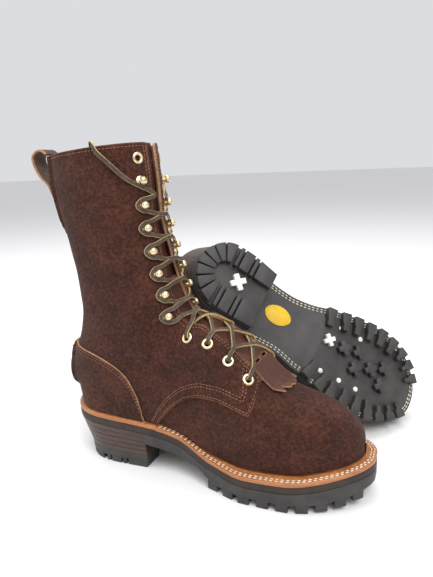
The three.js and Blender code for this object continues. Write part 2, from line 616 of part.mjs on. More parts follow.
/** A closed solid over a grid of surface points, between two lifts. */
function patch(grid, lo, hi) {
  const rows = grid.length, cols = grid[0].length, n = rows * cols;
  const flatGrid = grid.flat();
  const coords = [hi, lo].flatMap((lift) => flatGrid.map((p) => {
    const v = p.clone().addScaledVector(normalAt(p), lift(p));
    return [v.x, v.y, v.z];
  }));
  const tris = [], at = (i, j) => i * cols + j;
  const quad = (a, b, c, d) => tris.push([a, b, c], [a, c, d]);
  for (let i = 0; i + 1 < rows; i += 1) {
    for (let j = 0; j + 1 < cols; j += 1) {
      quad(at(i, j), at(i + 1, j), at(i + 1, j + 1), at(i, j + 1));
      quad(n + at(i, j), n + at(i, j + 1), n + at(i + 1, j + 1), n + at(i + 1, j));
    }
    quad(at(i + 1, 0), at(i, 0), n + at(i, 0), n + at(i + 1, 0));
    quad(at(i, cols - 1), at(i + 1, cols - 1), n + at(i + 1, cols - 1), n + at(i, cols - 1));
  }
  for (let j = 0; j + 1 < cols; j += 1) {
    quad(at(0, j), at(0, j + 1), n + at(0, j + 1), n + at(0, j));
    quad(at(rows - 1, j + 1), at(rows - 1, j), n + at(rows - 1, j), n + at(rows - 1, j + 1));
  }
  const g = toGeometry(coords, tris);
  return solid(g).volume() < 0 ? flipped(g) : g;
}
/** Rows of surface points from ring s0(v) to ring s1(v), v from -1 to 1 across. */
function frontGrid(rows, columns, s0, s1, half) {
  return Array.from({ length: rows + 1 }, (_, i) => Array.from({ length: columns + 1 }, (__, j) => {
    const v = -1 + (2 * j) / columns, s = lerp(s0(v, j), s1(v, j), i / rows);
    return frontPoint(s, v * half(s) * FY || 1e-3);
  }));
}
const crestX = (x) => ringWhere('cx', x, 0, 9);
const kiltieHalf = (s) => Math.min(KILTIE_HALF, gapHalf(ringAt.cz(s)) - 1.3);
function makeKiltie() {
  const s0 = crestX(KILTIE.hinge - 0.5), s1 = ringWhere('cz', KILTIE.top, 8, 16);
  const grid = frontGrid(11, 4, () => s0, () => s1, kiltieHalf);
  return patch(grid, kiltieLift, (p) => kiltieLift(p) + KILTIE.thick);
}
function makeKiltieFlap() {
  const s1 = crestX(KILTIE.hinge + 0.5);
  const s0 = (v, j) => crestX(KILTIE.end - (j % 2 ? 0 : KILTIE.tooth) - 5 * v * v);
  const grid = frontGrid(3, KILTIE.columns, s0, () => s1, () => KILTIE_HALF);
  return patch(grid, kiltieLift, (p) => kiltieLift(p) + KILTIE.thick);
}

// ------------------------------------------------------------- hooks and eyelets
/** The front ring where frontPoint at this y has the wanted nominal value on axis k. */
function ringAtSide(side, k, value, margin) {
  const rising = k === 'z';
  let lo = rising ? 10 : 2.5, hi = rising ? LAST_RING : 10.5, s = lo;
  const pick = (at) => {
    const edge = gapHalf(toNominal(upperPoint(at, 0)).z - 6);
    return frontPoint(at, side * (edge + margin * 0.97) * FY);
  };
  for (let i = 0; i < 20; i += 1) {
    s = (lo + hi) / 2;
    if ((toNominal(pick(s))[k] < value) === rising) lo = s; else hi = s;
  }
  return pick(s);
}
/** Point and normal beside the facing edge: an eyelet by its x, a hook by its height. */
function facingPoint(side, at, margin) {
  const p = at.x ? ringAtSide(side, 'x', at.x, margin) : ringAtSide(side, 'z', at.z, margin);
  return { p, n: normalAt(p) };
}
const placesOf = new Map();
function hardwarePlaces(side) {
  if (!placesOf.has(side)) placesOf.set(side, findHardware(side));
  return placesOf.get(side);
}
function findHardware(side) {
  const spots = [...EYELET_X.map((x) => ({ kind: 'eyelet', x })),
    { kind: 'top_eyelet', z: TOP_EYELET }, ...HOOK_HEIGHTS.map((z) => ({ kind: 'hook', z }))];
  return spots.map((spot) => ({ ...spot, ...facingPoint(side, spot, FACING_MARGIN) }));
}
/** Thin hidden bars behind the leather that tie a row of hardware into one solid. */
function tieBars(places, trim, width) {
  return places.slice(1).map(({ p, n }, i) => {
    const a = places[i].p.clone().addScaledVector(places[i].n, BAR_LIFT);
    const b = p.clone().addScaledVector(n, BAR_LIFT);
    const t = b.clone().sub(a).normalize();
    const side = t.clone().cross(n).normalize();
    return ribbon([a.addScaledVector(t, trim), b.addScaledVector(t, -trim)], [side, side], width,
      HARDWARE_STRIP);
  });
}
function eyelet({ p, n }) {
  const inner = BAR_LIFT - 0.35;
  return turned(p, n, [[EYELET.bore, inner], [EYELET.barrel, inner], [EYELET.barrel, 0.15],
    [EYELET.outer, 0.15], [EYELET.outer - 1, EYELET.rise], [EYELET.bore, EYELET.rise]], 6);
}
function hook({ p, n }) {
  const r = HOOK.ball, c = HOOK.rise;
  const inner = BAR_LIFT - 0.3;
  return turned(p, n, [[0, inner], [HOOK.neck, inner],
    [HOOK.neck, 0.15], [HOOK.base, 0.15], [HOOK.neck, 1.2], [HOOK.neck, c - r * 0.85],
    [r, c - 0.3], [r * 0.7, c + r * 0.75], [0, c + r]], 5);
}
function makeHooks(side) {
  const places = hardwarePlaces(side).filter((h) => h.kind === 'hook');
  return plus(hook(places[0]), [...places.slice(1).map(hook), ...tieBars(places, 0.4, 2.2)]);
}
function makeEyelets(side) {
  const places = hardwarePlaces(side).filter((h) => h.kind === 'eyelet');
  const r = EYELET.bore - 0.06; // clears the bars out of the bores without touching the walls
  const bores = places.map(({ p, n }) => turned(p, n, [[0, -8], [r, -8], [r, 5], [0, 5]], 6));
  const row = plus(eyelet(places[0]), [...places.slice(1).map(eyelet), ...tieBars(places, 0, 1.6)]);
  return minus(row, bores);
}
function makeTopEyelet(side) {
  return eyelet(hardwarePlaces(side).find((h) => h.kind === 'top_eyelet'));
}

// ------------------------------------------------------------- straps and laces
/** A flat strip swept along points, its width lying along the matching side vectors. */
function ribbon(points, sides, width, thick) {
  const coords = [], tris = [];
  points.forEach((p, i) => {
    const prev = points[Math.max(0, i - 1)], next = points[Math.min(points.length - 1, i + 1)];
    const t = next.clone().sub(prev).normalize();
    const s = sides[i].clone().addScaledVector(t, -sides[i].dot(t)).normalize();
    const up = s.clone().cross(t).normalize();
    for (const [a, b] of [[-1, 1], [1, 1], [1, -1], [-1, -1]]) {
      const v = p.clone().addScaledVector(s, (a * width) / 2).addScaledVector(up, (b * thick) / 2);
      coords.push([v.x, v.y, v.z]);
    }
  });
  const quad = (a, b, c, d) => tris.push([a, b, c], [a, c, d]);
  for (let i = 0; i + 1 < points.length; i += 1) {
    const a = 4 * i, b = a + 4;
    for (let k = 0; k < 4; k += 1) quad(a + k, a + ((k + 1) % 4), b + ((k + 1) % 4), b + k);
  }
  const e = 4 * (points.length - 1);
  quad(3, 2, 1, 0);
  quad(e, e + 1, e + 2, e + 3);
  const g = toGeometry(coords, tris);
  return solid(g).volume() < 0 ? flipped(g) : g;
}
function flipped(g) {
  const idx = Array.from(g.getIndex().array);
  for (let i = 0; i < idx.length; i += 3) [idx[i], idx[i + 1]] = [idx[i + 1], idx[i]];
  g.setIndex(idx);
  return g;
}
/** The pull loop: a strap from the back of the shaft out, up and over to the rim. */
function makePullLoop() {
  const z = SHAFT_TOP - 4.5;
  const back = (h) => cast(toReal(45, 0, h), new THREE.Vector3(-1, 0, 0)).x;
  const low = back(z - STRAP.drop), high = back(z - 2);
  const clear = 5.6;
  const route = [[low - clear, z - STRAP.drop + 4], [low - 11, z - STRAP.drop + 16],
    [high - 18, z - 18], [high - STRAP.reach + 1, z - 6], [high - STRAP.reach, z + 1],
    [high - STRAP.reach + 5, z + STRAP.above - 1], [high - 13, z + STRAP.above],
    [high - clear - 1.5, z + 3]];
  const curve = new THREE.CatmullRomCurve3(route.map(([x, h]) => new THREE.Vector3(x, 0, h)), false,
    'centripetal');
  const pts = curve.getSpacedPoints(14);
  return ribbon(pts, pts.map(() => new THREE.Vector3(0, 1, 0)), STRAP.width, STRAP.thick);
}
/** The sewn-down part of the pull loop: a reinforcing strip on the back seam. */
function makeBackStrip() {
  const inside = (p) => {
    const q = toNominal(p);
    return Math.min(q.x > 30 ? -50 : 11 - Math.abs(q.y), belowRim(p), q.z - 120.5);
  };
  return panel(inside, flat(LAYER_GAP), flat(LAYER_GAP + 1.6));
}
/** A point of the lace beside a hook or eyelet, lifted off the leather. */
function lacePost(side, spot, lift, beyond, rise = 0) {
  const at = spot.x ? { x: spot.x } : { z: spot.z + rise };
  const { p, n } = facingPoint(side, at, FACING_MARGIN + beyond);
  return p.clone().addScaledVector(n, lift);
}
/** A point on the middle line of the front, between two posts, lifted off the surface. */
function gapPoint(a, b, lift) {
  const mid = a.clone().add(b).multiplyScalar(0.5);
  let best = null, near = Infinity;
  for (let s = 2.5; s <= LAST_RING; s += 0.1) {
    const p = upperPoint(s, 0), d = p.distanceTo(mid);
    if (d < near) { near = d; best = p; }
  }
  return best.clone().addScaledVector(normalAt(best), lift);
}
/** The point moved outwards until it stands at least this far off the upper. */
function liftedTo(p, least) {
  let q = p;
  for (let i = 0; i < 4; i += 1) {
    const n = normalAt(q), slope = (field(q.clone().add(n)) - field(q.clone().sub(n))) / 2;
    q = q.clone().addScaledVector(n, Math.max(0, least - field(q) / slope));
  }
  return q;
}
/** One lace end, zig-zagging up from the bottom eyelet; height is its lift over mid gap. */
function laceRun(startSide, height) {
  const spots = [...EYELET_X.map((x) => ({ x })), ...HOOK_HEIGHTS.slice(0, 6).map((z) => ({ z }))];
  const turns = spots.map((spot, i) => {
    const side = i % 2 ? -startSide : startSide;
    if (spot.x) return [lacePost(side, spot, LACE.lift, 0)];
    return [lacePost(side, spot, LACE.lift, 1, -7.8), lacePost(side, spot, LACE.lift, 7.6),
      lacePost(side, spot, LACE.lift, 1, 7.8)];
  });
  return turns.flatMap((turn, i) => (i + 1 === turns.length ? turn
    : [...turn, gapPoint(turn[turn.length - 1], turns[i + 1][0], height)]));
}
/** One lace end: from the sixth hook over the rim and down inside the shaft. */
function laceTail(side) {
  return TAIL_WAYS.map(([z, degrees, lift]) => {
    const a = THREE.MathUtils.degToRad(degrees) * side;
    const away = new THREE.Vector3(Math.cos(a), Math.sin(a), 0);
    const p = cast(toReal(AXIS_X, 0, Math.min(z, NOMINAL.top)), away);
    return new THREE.Vector3(p.x, p.y, toReal(0, 0, z).z).addScaledVector(away, lift);
  });
}
/** The lace: two runs from the bar at the throat, crossed up to the sixth hooks, and the ends. */
function makeLace() {
  const a = laceRun(-1, LACE.under), b = laceRun(1, LACE.over);
  const bar = gapPoint(a[0], b[0], LACE.under);
  const tails = [-1, 1].map((side, i) => {
    const end = new THREE.CatmullRomCurve3([(i ? a : b).at(-1), ...laceTail(side)], false, 'centripetal');
    return end.getSpacedPoints(TAIL_STEPS).slice(1).map((p) => (
      toNominal(p).z < TAIL_FREE && field(p) > 0 ? liftedTo(p, LACE.lift) : p));
  });
  const curve = new THREE.CatmullRomCurve3([...b.reverse(), bar, ...a], false, 'centripetal');
  const run = curve.getSpacedPoints(LACE.steps).map((p) => liftedTo(p, LACE.lift));
  const pts = [...tails[0].reverse(), ...run, ...tails[1]];
  const along = (i) => pts[Math.min(pts.length - 1, i + 1)].clone().sub(pts[Math.max(0, i - 1)]).normalize();
  const sides = pts.map((p, i) => along(i).cross(normalAt(p)));
  const carry = (i, from) => {
    const t = along(i), last = sides[from];
    if (sides[i].length() < 0.5) sides[i] = last.clone().addScaledVector(t, -last.dot(t));
    sides[i].multiplyScalar(Math.sign(sides[i].dot(last))).normalize();
  };
  for (let i = TAIL_STEPS - 1; i >= 0; i -= 1) carry(i, i + 1);
  for (let i = pts.length - TAIL_STEPS; i < pts.length; i += 1) carry(i, i - 1);
  sides.forEach((side) => side.normalize());
  return ribbon(pts, sides, LACE.width, LACE.thick);
}

// ------------------------------------------------------------- one boot, then the pair
function bootPieces() {
  const piece = (name, look, geometry) => ({ name, look, geometry });
  const b = BADGE, w = WHITE_CROSS;
  const waistFloor = (x) => Math.min(soleFloor(x) + LUG_DEPTH, outsoleTop(x) - OUTSOLE_BASE);
  return [
    piece('vamp', 'rough', makeVamp()),
    piece('quarter_lateral', 'rough', makeQuarter(-1)),
    piece('quarter_medial', 'rough', makeQuarter(1)),
    piece('counter_cover', 'rough', makeCounterCover()),
    piece('heel_stiffener', 'lining', makeStiffener()),
    piece('toe_puff', 'lining', makeToePuff()),
    piece('tongue', 'smooth', makeTongue()),
    piece('kiltie', 'smooth', makeKiltie()),
    piece('kiltie_flap', 'smooth', makeKiltieFlap()),
    piece('back_strip', 'rough', makeBackStrip()),
    piece('pull_loop', 'smooth', makePullLoop()),
    piece('insole', 'insole', makeInsole()),
    piece('bottom_filler', 'cork', makeFiller()),
    piece('shank', 'steel', makeShank()),
    piece('midsole', 'rand', makeMidsole()),
    piece('heel_rand', 'rand', makeRand()),
    piece('slip_sole', 'slip', layer(SOLE_BACK * FX + 0.4, 304.4 * FX, 0, slipTop, slipBottom)),
    piece('outsole', 'rubber', makeOutsole()),
    piece('sole_inlay', 'ochre', makeInlay(b, waistFloor)),
    piece('sole_cross', 'pale', crossLug(w.x * FX, w.y * FY, waistFloor(w.x * FX) - 4.3,
      waistFloor(w.x * FX) - 0.6, w.arm, 2.4)),
    piece('heel_stack', 'stack', makeHeelStack()),
    piece('heel_cap', 'rubber', makeHeelCap()),
    piece('eyelets_lateral', 'brass', makeEyelets(-1)),
    piece('eyelets_medial', 'brass', makeEyelets(1)),
    piece('top_eyelet_lateral', 'brass', makeTopEyelet(-1)),
    piece('top_eyelet_medial', 'brass', makeTopEyelet(1)),
    piece('hooks_lateral', 'brass', makeHooks(-1)),
    piece('hooks_medial', 'brass', makeHooks(1)),
    piece('lace', 'lace', makeLace()),
  ];
}
/** The plain oval inlay under the waist, following the arch. */
function makeInlay(b, floor) {
  const us = [-1, -0.8, -0.4, 0, 0.4, 0.8, 1];
  const row = (drop) => us.map((u) => {
    const x = (b.x + u * b.long) * FX, half = b.wide * Math.sqrt(Math.max(0.05, 1 - u * u * 0.9));
    return { x, z: floor(x) - drop, l: half - b.y, m: half + b.y };
  });
  return slab(row(0.3), row(0.3 + b.thick));
}

function meshesOf(prefix, pieces, place) {
  return pieces.map(({ name, look, geometry }) => {
    const [color, roughness, metalness] = LEATHERS[look];
    const mesh = new THREE.Mesh(place(geometry.clone()),
      new THREE.MeshStandardMaterial({ color, roughness, metalness, name: look }));
    mesh.name = `${prefix}_${name}`;
    return mesh;
  });
}
const pieces = bootPieces();
const standing = meshesOf('right', pieces, (g) => g);

/** The left boot is the right boot mirrored, rolled onto its lateral side, on the floor. */
const rad = THREE.MathUtils.degToRad;
const lie = new THREE.Matrix4().makeRotationZ(rad(LYING.yaw))
  .multiply(new THREE.Matrix4().makeRotationY(rad(LYING.pitch)))
  .multiply(new THREE.Matrix4().makeRotationX(rad(LYING.roll)))
  .multiply(new THREE.Matrix4().makeScale(1, -1, 1))
  .multiply(new THREE.Matrix4().makeTranslation(-150 * FX, 0, -100));
const lying = meshesOf('left', pieces, (g) => flipped(g.applyMatrix4(lie)));
const lyingBox = new THREE.Box3();
lying.forEach((m) => lyingBox.union(new THREE.Box3().setFromBufferAttribute(
  m.geometry.getAttribute('position'))));
lying.forEach((m) => m.geometry.translate(LYING.x * FX, LYING.y * FX, -lyingBox.min.z));

const group = new THREE.Group();
group.name = 'fire_boots';
group.add(...standing, ...lying);
const whole = new THREE.Box3().setFromObject(group);
const middle = whole.getCenter(new THREE.Vector3());
[...standing, ...lying].forEach((m) => {
  m.geometry.translate(-middle.x, -middle.y, -whole.min.z);
  m.geometry.computeVertexNormals();
});

export default group;
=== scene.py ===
"""A pair of logger-style fire boots: the right boot stands, the left boot leans behind it."""
from __future__ import annotations

import logging
import math
from dataclasses import dataclass, field
from enum import Enum
from typing import Callable, Iterable, Sequence

import bpy
import numpy as np
from mathutils import Matrix, Vector, noise


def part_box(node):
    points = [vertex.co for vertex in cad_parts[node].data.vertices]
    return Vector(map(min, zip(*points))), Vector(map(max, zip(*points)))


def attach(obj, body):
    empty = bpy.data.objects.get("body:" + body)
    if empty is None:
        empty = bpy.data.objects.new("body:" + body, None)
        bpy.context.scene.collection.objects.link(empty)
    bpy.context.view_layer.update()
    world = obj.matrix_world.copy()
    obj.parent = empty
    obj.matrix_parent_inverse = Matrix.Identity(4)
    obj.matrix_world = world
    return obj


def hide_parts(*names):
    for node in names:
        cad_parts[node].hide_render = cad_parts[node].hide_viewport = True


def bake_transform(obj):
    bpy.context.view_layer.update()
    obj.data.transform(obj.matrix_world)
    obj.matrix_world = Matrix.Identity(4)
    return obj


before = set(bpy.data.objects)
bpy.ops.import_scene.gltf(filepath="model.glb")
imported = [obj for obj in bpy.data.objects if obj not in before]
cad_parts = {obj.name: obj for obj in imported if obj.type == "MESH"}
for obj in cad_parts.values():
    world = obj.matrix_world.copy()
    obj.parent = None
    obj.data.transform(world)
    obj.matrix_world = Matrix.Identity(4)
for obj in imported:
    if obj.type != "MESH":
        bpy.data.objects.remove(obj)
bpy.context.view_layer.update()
MM = 0.001
LOG = logging.getLogger("fire_boots")

Array = np.ndarray
Lift = Callable[[Array], Array]


# ---------------------------------------------------------------- small maths
class Curve:
    """A monotone cubic through chosen points, held flat outside them."""

    def __init__(self, xs: Sequence[float], ys: Sequence[float]) -> None:
        """Works out the slopes.

        Args:
            xs: Rising positions.
            ys: The value at each position.
        """
        self.x, self.y = np.array(xs, float), np.array(ys, float)
        self.h = np.diff(self.x)
        d = np.diff(self.y) / self.h
        m = np.empty(len(xs))
        m[0], m[-1] = d[0], d[-1]
        w1, w2 = 2 * self.h[1:] + self.h[:-1], self.h[1:] + 2 * self.h[:-1]
        turn = d[:-1] * d[1:] <= 0
        a = np.where(turn, 1.0, d[:-1])
        b = np.where(turn, 1.0, d[1:])
        m[1:-1] = np.where(turn, 0.0, (w1 + w2) / (w1 / a + w2 / b))
        self.m = m

    def __call__(self, x: Array | float) -> Array:
        """Returns the curve's value at x."""
        x = np.clip(np.asarray(x, float), self.x[0], self.x[-1])
        i = np.clip(np.searchsorted(self.x, x) - 1, 0, len(self.h) - 1)
        h = self.h[i]
        t = (x - self.x[i]) / h
        u = 1 - t
        return (self.y[i] * u * u * (1 + 2 * t) + self.y[i + 1] * t * t * (3 - 2 * t)
                + h * (self.m[i] * t * u * u - self.m[i + 1] * t * t * u))


def end_cap(d: Array, reach: float, p: float) -> Array:
    """Returns 1 up to d = 0, falling to 0 at reach as a superellipse does."""
    ratio = np.maximum(np.asarray(d, float), 0) / reach
    return np.where(d <= 0, 1.0, np.maximum(0, 1 - ratio ** p) ** (1 / p))


def blend_value(a: Array | float, b: Array | float, t: Array | float) -> Array:
    """Returns the value a part t of the way from a to b, with t held in 0 to 1."""
    return a + (b - a) * np.clip(t, 0, 1)


def unit(v: Array) -> Array:
    """Returns the vectors at length 1."""
    return v / np.maximum(np.linalg.norm(v, axis=-1, keepdims=True), 1e-9)


# ---------------------------------------------------------------- the last and the sole, in mm
LATERAL, MEDIAL = -1, 1
LEATHER, LAYER_GAP = 2.4, 0.3
SOLE_BACK, SOLE_TIP = -4.0, 305.0
SHAFT_TOP, HEEL_BREAST, CAP_THICK = 309.0, 91.0, 14.0
RAND_THICK, SLIP_THICK, OUTSOLE_BASE, LUG_DEPTH = 3.8, 6.4, 4.5, 7.0
LAST_RING = 16.0

LATERAL_EDGE = Curve([-4, 20, 50, 85, 125, 165, 200, 235, 265, 305],
                     [36, 39.5, 41.5, 40, 37.5, 48, 57, 56, 51, 40])
MEDIAL_EDGE = Curve([-4, 20, 50, 85, 125, 165, 200, 235, 265, 305],
                    [36, 39, 39.5, 36, 31.5, 37, 46, 50.5, 50, 44])
SOLE_TOP = Curve([-4, 50, 85, 106, 125, 145, 165, 200, 240, 280, 305],
                 [54, 51.5, 49.5, 47, 42.5, 35.5, 30, 27, 28.5, 34, 38])
SOLE_FLOOR = Curve([91, 150, 170, 240, 280, 305], [21, 9, 0, 0, 4, 10])
CREST = Curve([0, 30, 60, 100, 125, 145, 162, 180, 193, 202, 210, 220, 232, 245, 260, 275, 290],
              [88, 100, 122, 142, 149, 150, 142, 131, 122, 114, 106, 98, 92, 88.5, 85, 81, 76])
UPPER_LATERAL = Curve([0, 20, 50, 85, 125, 150, 165, 180, 200, 235, 265, 305],
                      [33, 36.5, 38.5, 38, 39, 42, 44.5, 47, 49.5, 48.5, 43.5, 34])
UPPER_MEDIAL = Curve([0, 20, 50, 85, 125, 150, 165, 180, 200, 235, 265, 305],
                     [33, 36, 37, 37, 38.5, 40, 41, 42, 42.5, 43.5, 42.5, 37])
TUCK = Curve([0, 60, 100, 160, 195, 297], [30, 30, 18, 17, 26, 26])
BOXINESS = Curve([0, 60, 120, 175, 210, 240, 297], [2.3, 2.4, 2.9, 3.6, 3.1, 2.5, 2.3])
LEG_Z = [60, 75, 90, 105, 120, 140, 160, 190, 220, 250, 280, 316]
LEG_BACK = Curve(LEG_Z, [-5, -5.5, -4, -1, 4.5, 12, 15.5, 12.5, 5.5, -2, -6.5, -7])
LEG_FRONT = Curve(LEG_Z, [100, 104, 108, 114, 120, 124, 122, 113.5, 106.5, 101, 100, 97])
LEG_HALF = Curve(LEG_Z, [31, 34, 35.5, 37, 39, 41, 41, 40.5, 40, 41, 42, 41.5])
GAP_HALF = Curve([80, 118, 130, 148, 158, 175, 195, 215, 240, 300],
                 [23, 23, 19.5, 15.5, 13.5, 11.5, 10.5, 9.5, 8.5, 7.5])
SEAM_HEIGHT = Curve([80, 100, 109, 118, 130, 145, 157, 170, 185, 203],
                    [0, 40, 55, 66, 77, 85, 88, 88, 85, 79.5])
TAB_FRONT = Curve([70, 79, 85, 92, 100, 104, 108, 116],
                  [199, 202, 205, 207, 208.5, 208.4, 207, 205])
COUNTER_TOP = Curve([-8, 10, 33, 55, 74, 84, 90, 95], [119, 119, 116.5, 109, 97, 80, 60, 30])
RING = np.arange(17)
CREST_X = Curve(RING, [284, 268, 248, 228, 210, 194, 179, 164, 150, 139, 131, 124, 119, 111, 104, 100, 97])
CREST_Z = Curve(RING, [74, 82, 88, 95, 110, 127, 138, 146, 152, 157, 162, 170, 182, 210, 240, 275, 314])
BASE_X = Curve(RING, [284, 268, 248, 227, 207, 188, 166, 138, 104, 66, 24, -4, -2, 8, 15, 2, -7])
BASE_Z = Curve(RING, [42, 38, 34, 30, 28, 28, 32, 38, 45, 50, 54, 66, 98, 140, 190, 246, 305])


def sole_half(side: int, x: Array, inset: float = 0.0) -> Array:
    """Returns the half width of the sole at x, or of a line inset from its edge."""
    x = np.asarray(x, float)
    base = (LATERAL_EDGE(x) if side < 0 else MEDIAL_EDGE(x)) - inset
    heel = end_cap(36 - x, 36 - SOLE_BACK - inset, 2.1)
    toe = end_cap(x - 225, SOLE_TIP - 225 - inset, 2.3)
    return np.maximum(0, base * heel * toe)


def foot_field(x: Array, y: Array, z: Array) -> Array:
    """Returns below zero inside the foot part of the upper."""
    mid = SOLE_TOP(x) + blend_value(14, 10, x / 250)
    heel, toe = end_cap(36 - x, 33, 2.1), end_cap(x - 228, 297 - 228, 2.35)
    w = np.where(y < 0, UPPER_LATERAL(x), UPPER_MEDIAL(x)) * heel * toe
    up = (CREST(x) - mid) * np.maximum(heel, 0.4) * end_cap(x - 250, 297 - 250, 2.6)
    n = BOXINESS(x)
    h = np.where(z > mid, up, TUCK(x))
    ws, hs = np.maximum(w, 0.5), np.maximum(h, 0.5)
    value = ((np.abs(y) / ws) ** n + (np.abs(z - mid) / hs) ** n) ** (1 / n) - 1
    outside = np.maximum(0.05, (x - 150) / 150 - 0.9) + 0.05
    return np.where((w < 0.5) | (up < 0.5), outside, value)


def leg_field(x: Array, y: Array, z: Array) -> Array:
    """Returns below zero inside the shaft."""
    b, f = LEG_BACK(z), LEG_FRONT(z)
    shrink = np.where(z < 92, end_cap(92 - z, 40, 2.2), 1.0)
    safe = np.maximum(shrink, 0.05)
    a, w = (f - b) / 2 * safe, LEG_HALF(z) * safe
    m = blend_value(2.6, 2.2, (z - 170) / 70)
    value = ((np.abs(x - (b + f) / 2) / a) ** m + (np.abs(y) / w) ** m) ** (1 / m) - 1
    return np.where(shrink < 0.05, 1.0, value)


def upper_field(p: Array) -> Array:
    """Returns below zero inside the whole upper, about in millimetres."""
    x, y, z = p[..., 0], p[..., 1], p[..., 2]
    a, b, k = foot_field(x, y, z) * 45, leg_field(x, y, z) * 45, 15
    h = np.clip(0.5 + (b - a) / (2 * k), 0, 1)
    return b + (a - b) * h - k * h * (1 - h)


def surface_normal(p: Array) -> Array:
    """Returns the outward unit normals of the upper at p."""
    step = 0.4 * np.eye(3)
    return unit(np.stack([upper_field(p + s) - upper_field(p - s) for s in step], -1))


def cast(origin: Array, direction: Array) -> Array:
    """Returns where rays from inside meet the surface of the upper.

    Args:
        origin: Points inside the upper.
        direction: Unit vectors.
    """
    origin, direction = np.atleast_2d(origin), np.atleast_2d(direction)
    lo, hi = np.zeros(len(direction)), np.zeros(len(direction))
    for _ in range(60):
        inside = upper_field(origin + direction * hi[:, None]) < 0
        lo = np.where(inside, hi, lo)
        hi = np.where(inside, hi + 5, hi)
    for _ in range(18):
        mid = (lo + hi) / 2
        inside = upper_field(origin + direction * mid[:, None]) < 0
        lo, hi = np.where(inside, mid, lo), np.where(inside, hi, mid)
    return origin + direction * lo[:, None]


def ring_points(s: Array, a: Array) -> Array:
    """Returns surface points at rings s and angles a, where angle 0 is the crest."""
    c = np.stack([CREST_X(s), 0 * s, CREST_Z(s)], -1)
    b = np.stack([BASE_X(s), 0 * s, BASE_Z(s)], -1)
    d = unit(c - b) * np.cos(a)[:, None]
    d[:, 1] += np.sin(a)
    return cast((c + b) / 2, unit(d))


def ring_where(table: Curve, value: float, lo: float, hi: float) -> float:
    """Returns the ring between lo and hi where a crest table has the value."""
    rising = table(hi) > table(lo)
    for _ in range(24):
        mid = (lo + hi) / 2
        if bool(table(mid) < value) == bool(rising):
            lo = mid
        else:
            hi = mid
    return lo


@dataclass
class Skin:
    """A grid of surface points with their normals and triangles."""

    points: Array
    normals: Array
    tris: Array


def whole_skin(columns: int, rings: int, toe_rows: int) -> Skin:
    """Returns the upper's surface from the tip of the toe to the rim."""
    angles = np.arange(columns) / columns * 2 * np.pi
    origin = np.array([float(CREST_X(0)), 0, float(CREST_Z(0) + BASE_Z(0)) / 2])
    rows = [cast(origin, np.array([[1.0, 0, 0]]))]
    for j in range(toe_rows, 0, -1):
        tilt = j / (toe_rows + 1) * np.pi / 2
        d = np.stack([np.full(columns, math.sin(tilt)), np.sin(angles) * math.cos(tilt),
                      np.cos(angles) * math.cos(tilt)], -1)
        rows.append(cast(origin, d))
    s = np.repeat(np.arange(rings + 1) / rings * LAST_RING, columns)
    rows.append(ring_points(s, np.tile(angles, rings + 1)))
    points = np.concatenate(rows)
    count = toe_rows + rings + 1
    grid = 1 + np.arange(count * columns).reshape(count, columns)
    nxt = np.roll(grid, -1, 1)
    fan = np.stack([np.zeros(columns, int), nxt[0], grid[0]], -1)
    quads = np.stack([grid[:-1], nxt[:-1], nxt[1:], grid[1:]], -1).reshape(-1, 4)
    return oriented(points, np.concatenate([fan, quads[:, [0, 1, 2]], quads[:, [0, 2, 3]]]))


def front_skin(s0: float, s1: float, rows: int, reach: float, columns: int) -> Skin:
    """Returns a fine strip of the upper's front, reach radians either side of the crest."""
    s = np.repeat(np.linspace(s0, s1, rows + 1), columns + 1)
    points = ring_points(s, np.tile(np.linspace(-reach, reach, columns + 1), rows + 1))
    grid = np.arange((rows + 1) * (columns + 1)).reshape(rows + 1, columns + 1)
    quads = np.stack([grid[:-1, :-1], grid[:-1, 1:], grid[1:, 1:], grid[1:, :-1]], -1).reshape(-1, 4)
    return oriented(points, np.concatenate([quads[:, [0, 1, 2]], quads[:, [0, 2, 3]]]))


def oriented(points: Array, tris: Array) -> Skin:
    """Returns the skin with its triangles facing the way its normals point."""
    normals = surface_normal(points)
    a, b, c = (points[tris[:, k]] for k in range(3))
    facing = np.sum(np.cross(b - a, c - a) * normals[tris[:, 0]])
    return Skin(points, normals, tris if facing > 0 else tris[:, ::-1])


# ---------------------------------------------------------------- shapes
class Face(Enum):
    """Which finish of a piece a face takes."""

    OUTER = 0
    CUT = 1
    INNER = 2


@dataclass
class Shape:
    """Points in boot millimetres, faces, and the finish of each face."""

    points: Array
    faces: list[tuple[int, ...]]
    looks: list[int]
    edge: Array

    @staticmethod
    def plain(points: Array, faces: Iterable[Sequence[int]], look: Face = Face.OUTER) -> Shape:
        """Returns a shape with one finish all over."""
        faces = [tuple(int(i) for i in f) for f in faces]
        return Shape(np.asarray(points, float), faces, [look.value] * len(faces),
                     np.full(len(points), 10.0))

    @staticmethod
    def join(shapes: Sequence[Shape]) -> Shape:
        """Returns the shapes as one."""
        faces, looks, start = [], [], 0
        for s in shapes:
            faces += [tuple(i + start for i in f) for f in s.faces]
            looks += s.looks
            start += len(s.points)
        return Shape(np.concatenate([s.points for s in shapes]), faces, looks,
                     np.concatenate([s.edge for s in shapes]))

    def copies(self, places: Array, along: Array, up: Array) -> Shape:
        """Returns a copy at each place, its X along and its Z up.

        Args:
            places: Where each copy's origin goes.
            along: The direction of each copy's X axis.
            up: The direction of each copy's Z axis.
        """
        up = unit(up)
        x = unit(along - up * np.sum(along * up, -1, keepdims=True))
        axes = np.stack([x, np.cross(up, x), up], -2)
        points = np.einsum("vk,nkj->nvj", self.points, axes) + places[:, None]
        n = len(self.points)
        faces = [tuple(i + j * n for i in f) for j in range(len(places)) for f in self.faces]
        return Shape(points.reshape(-1, 3), faces, self.looks * len(places),
                     np.tile(self.edge, len(places)))


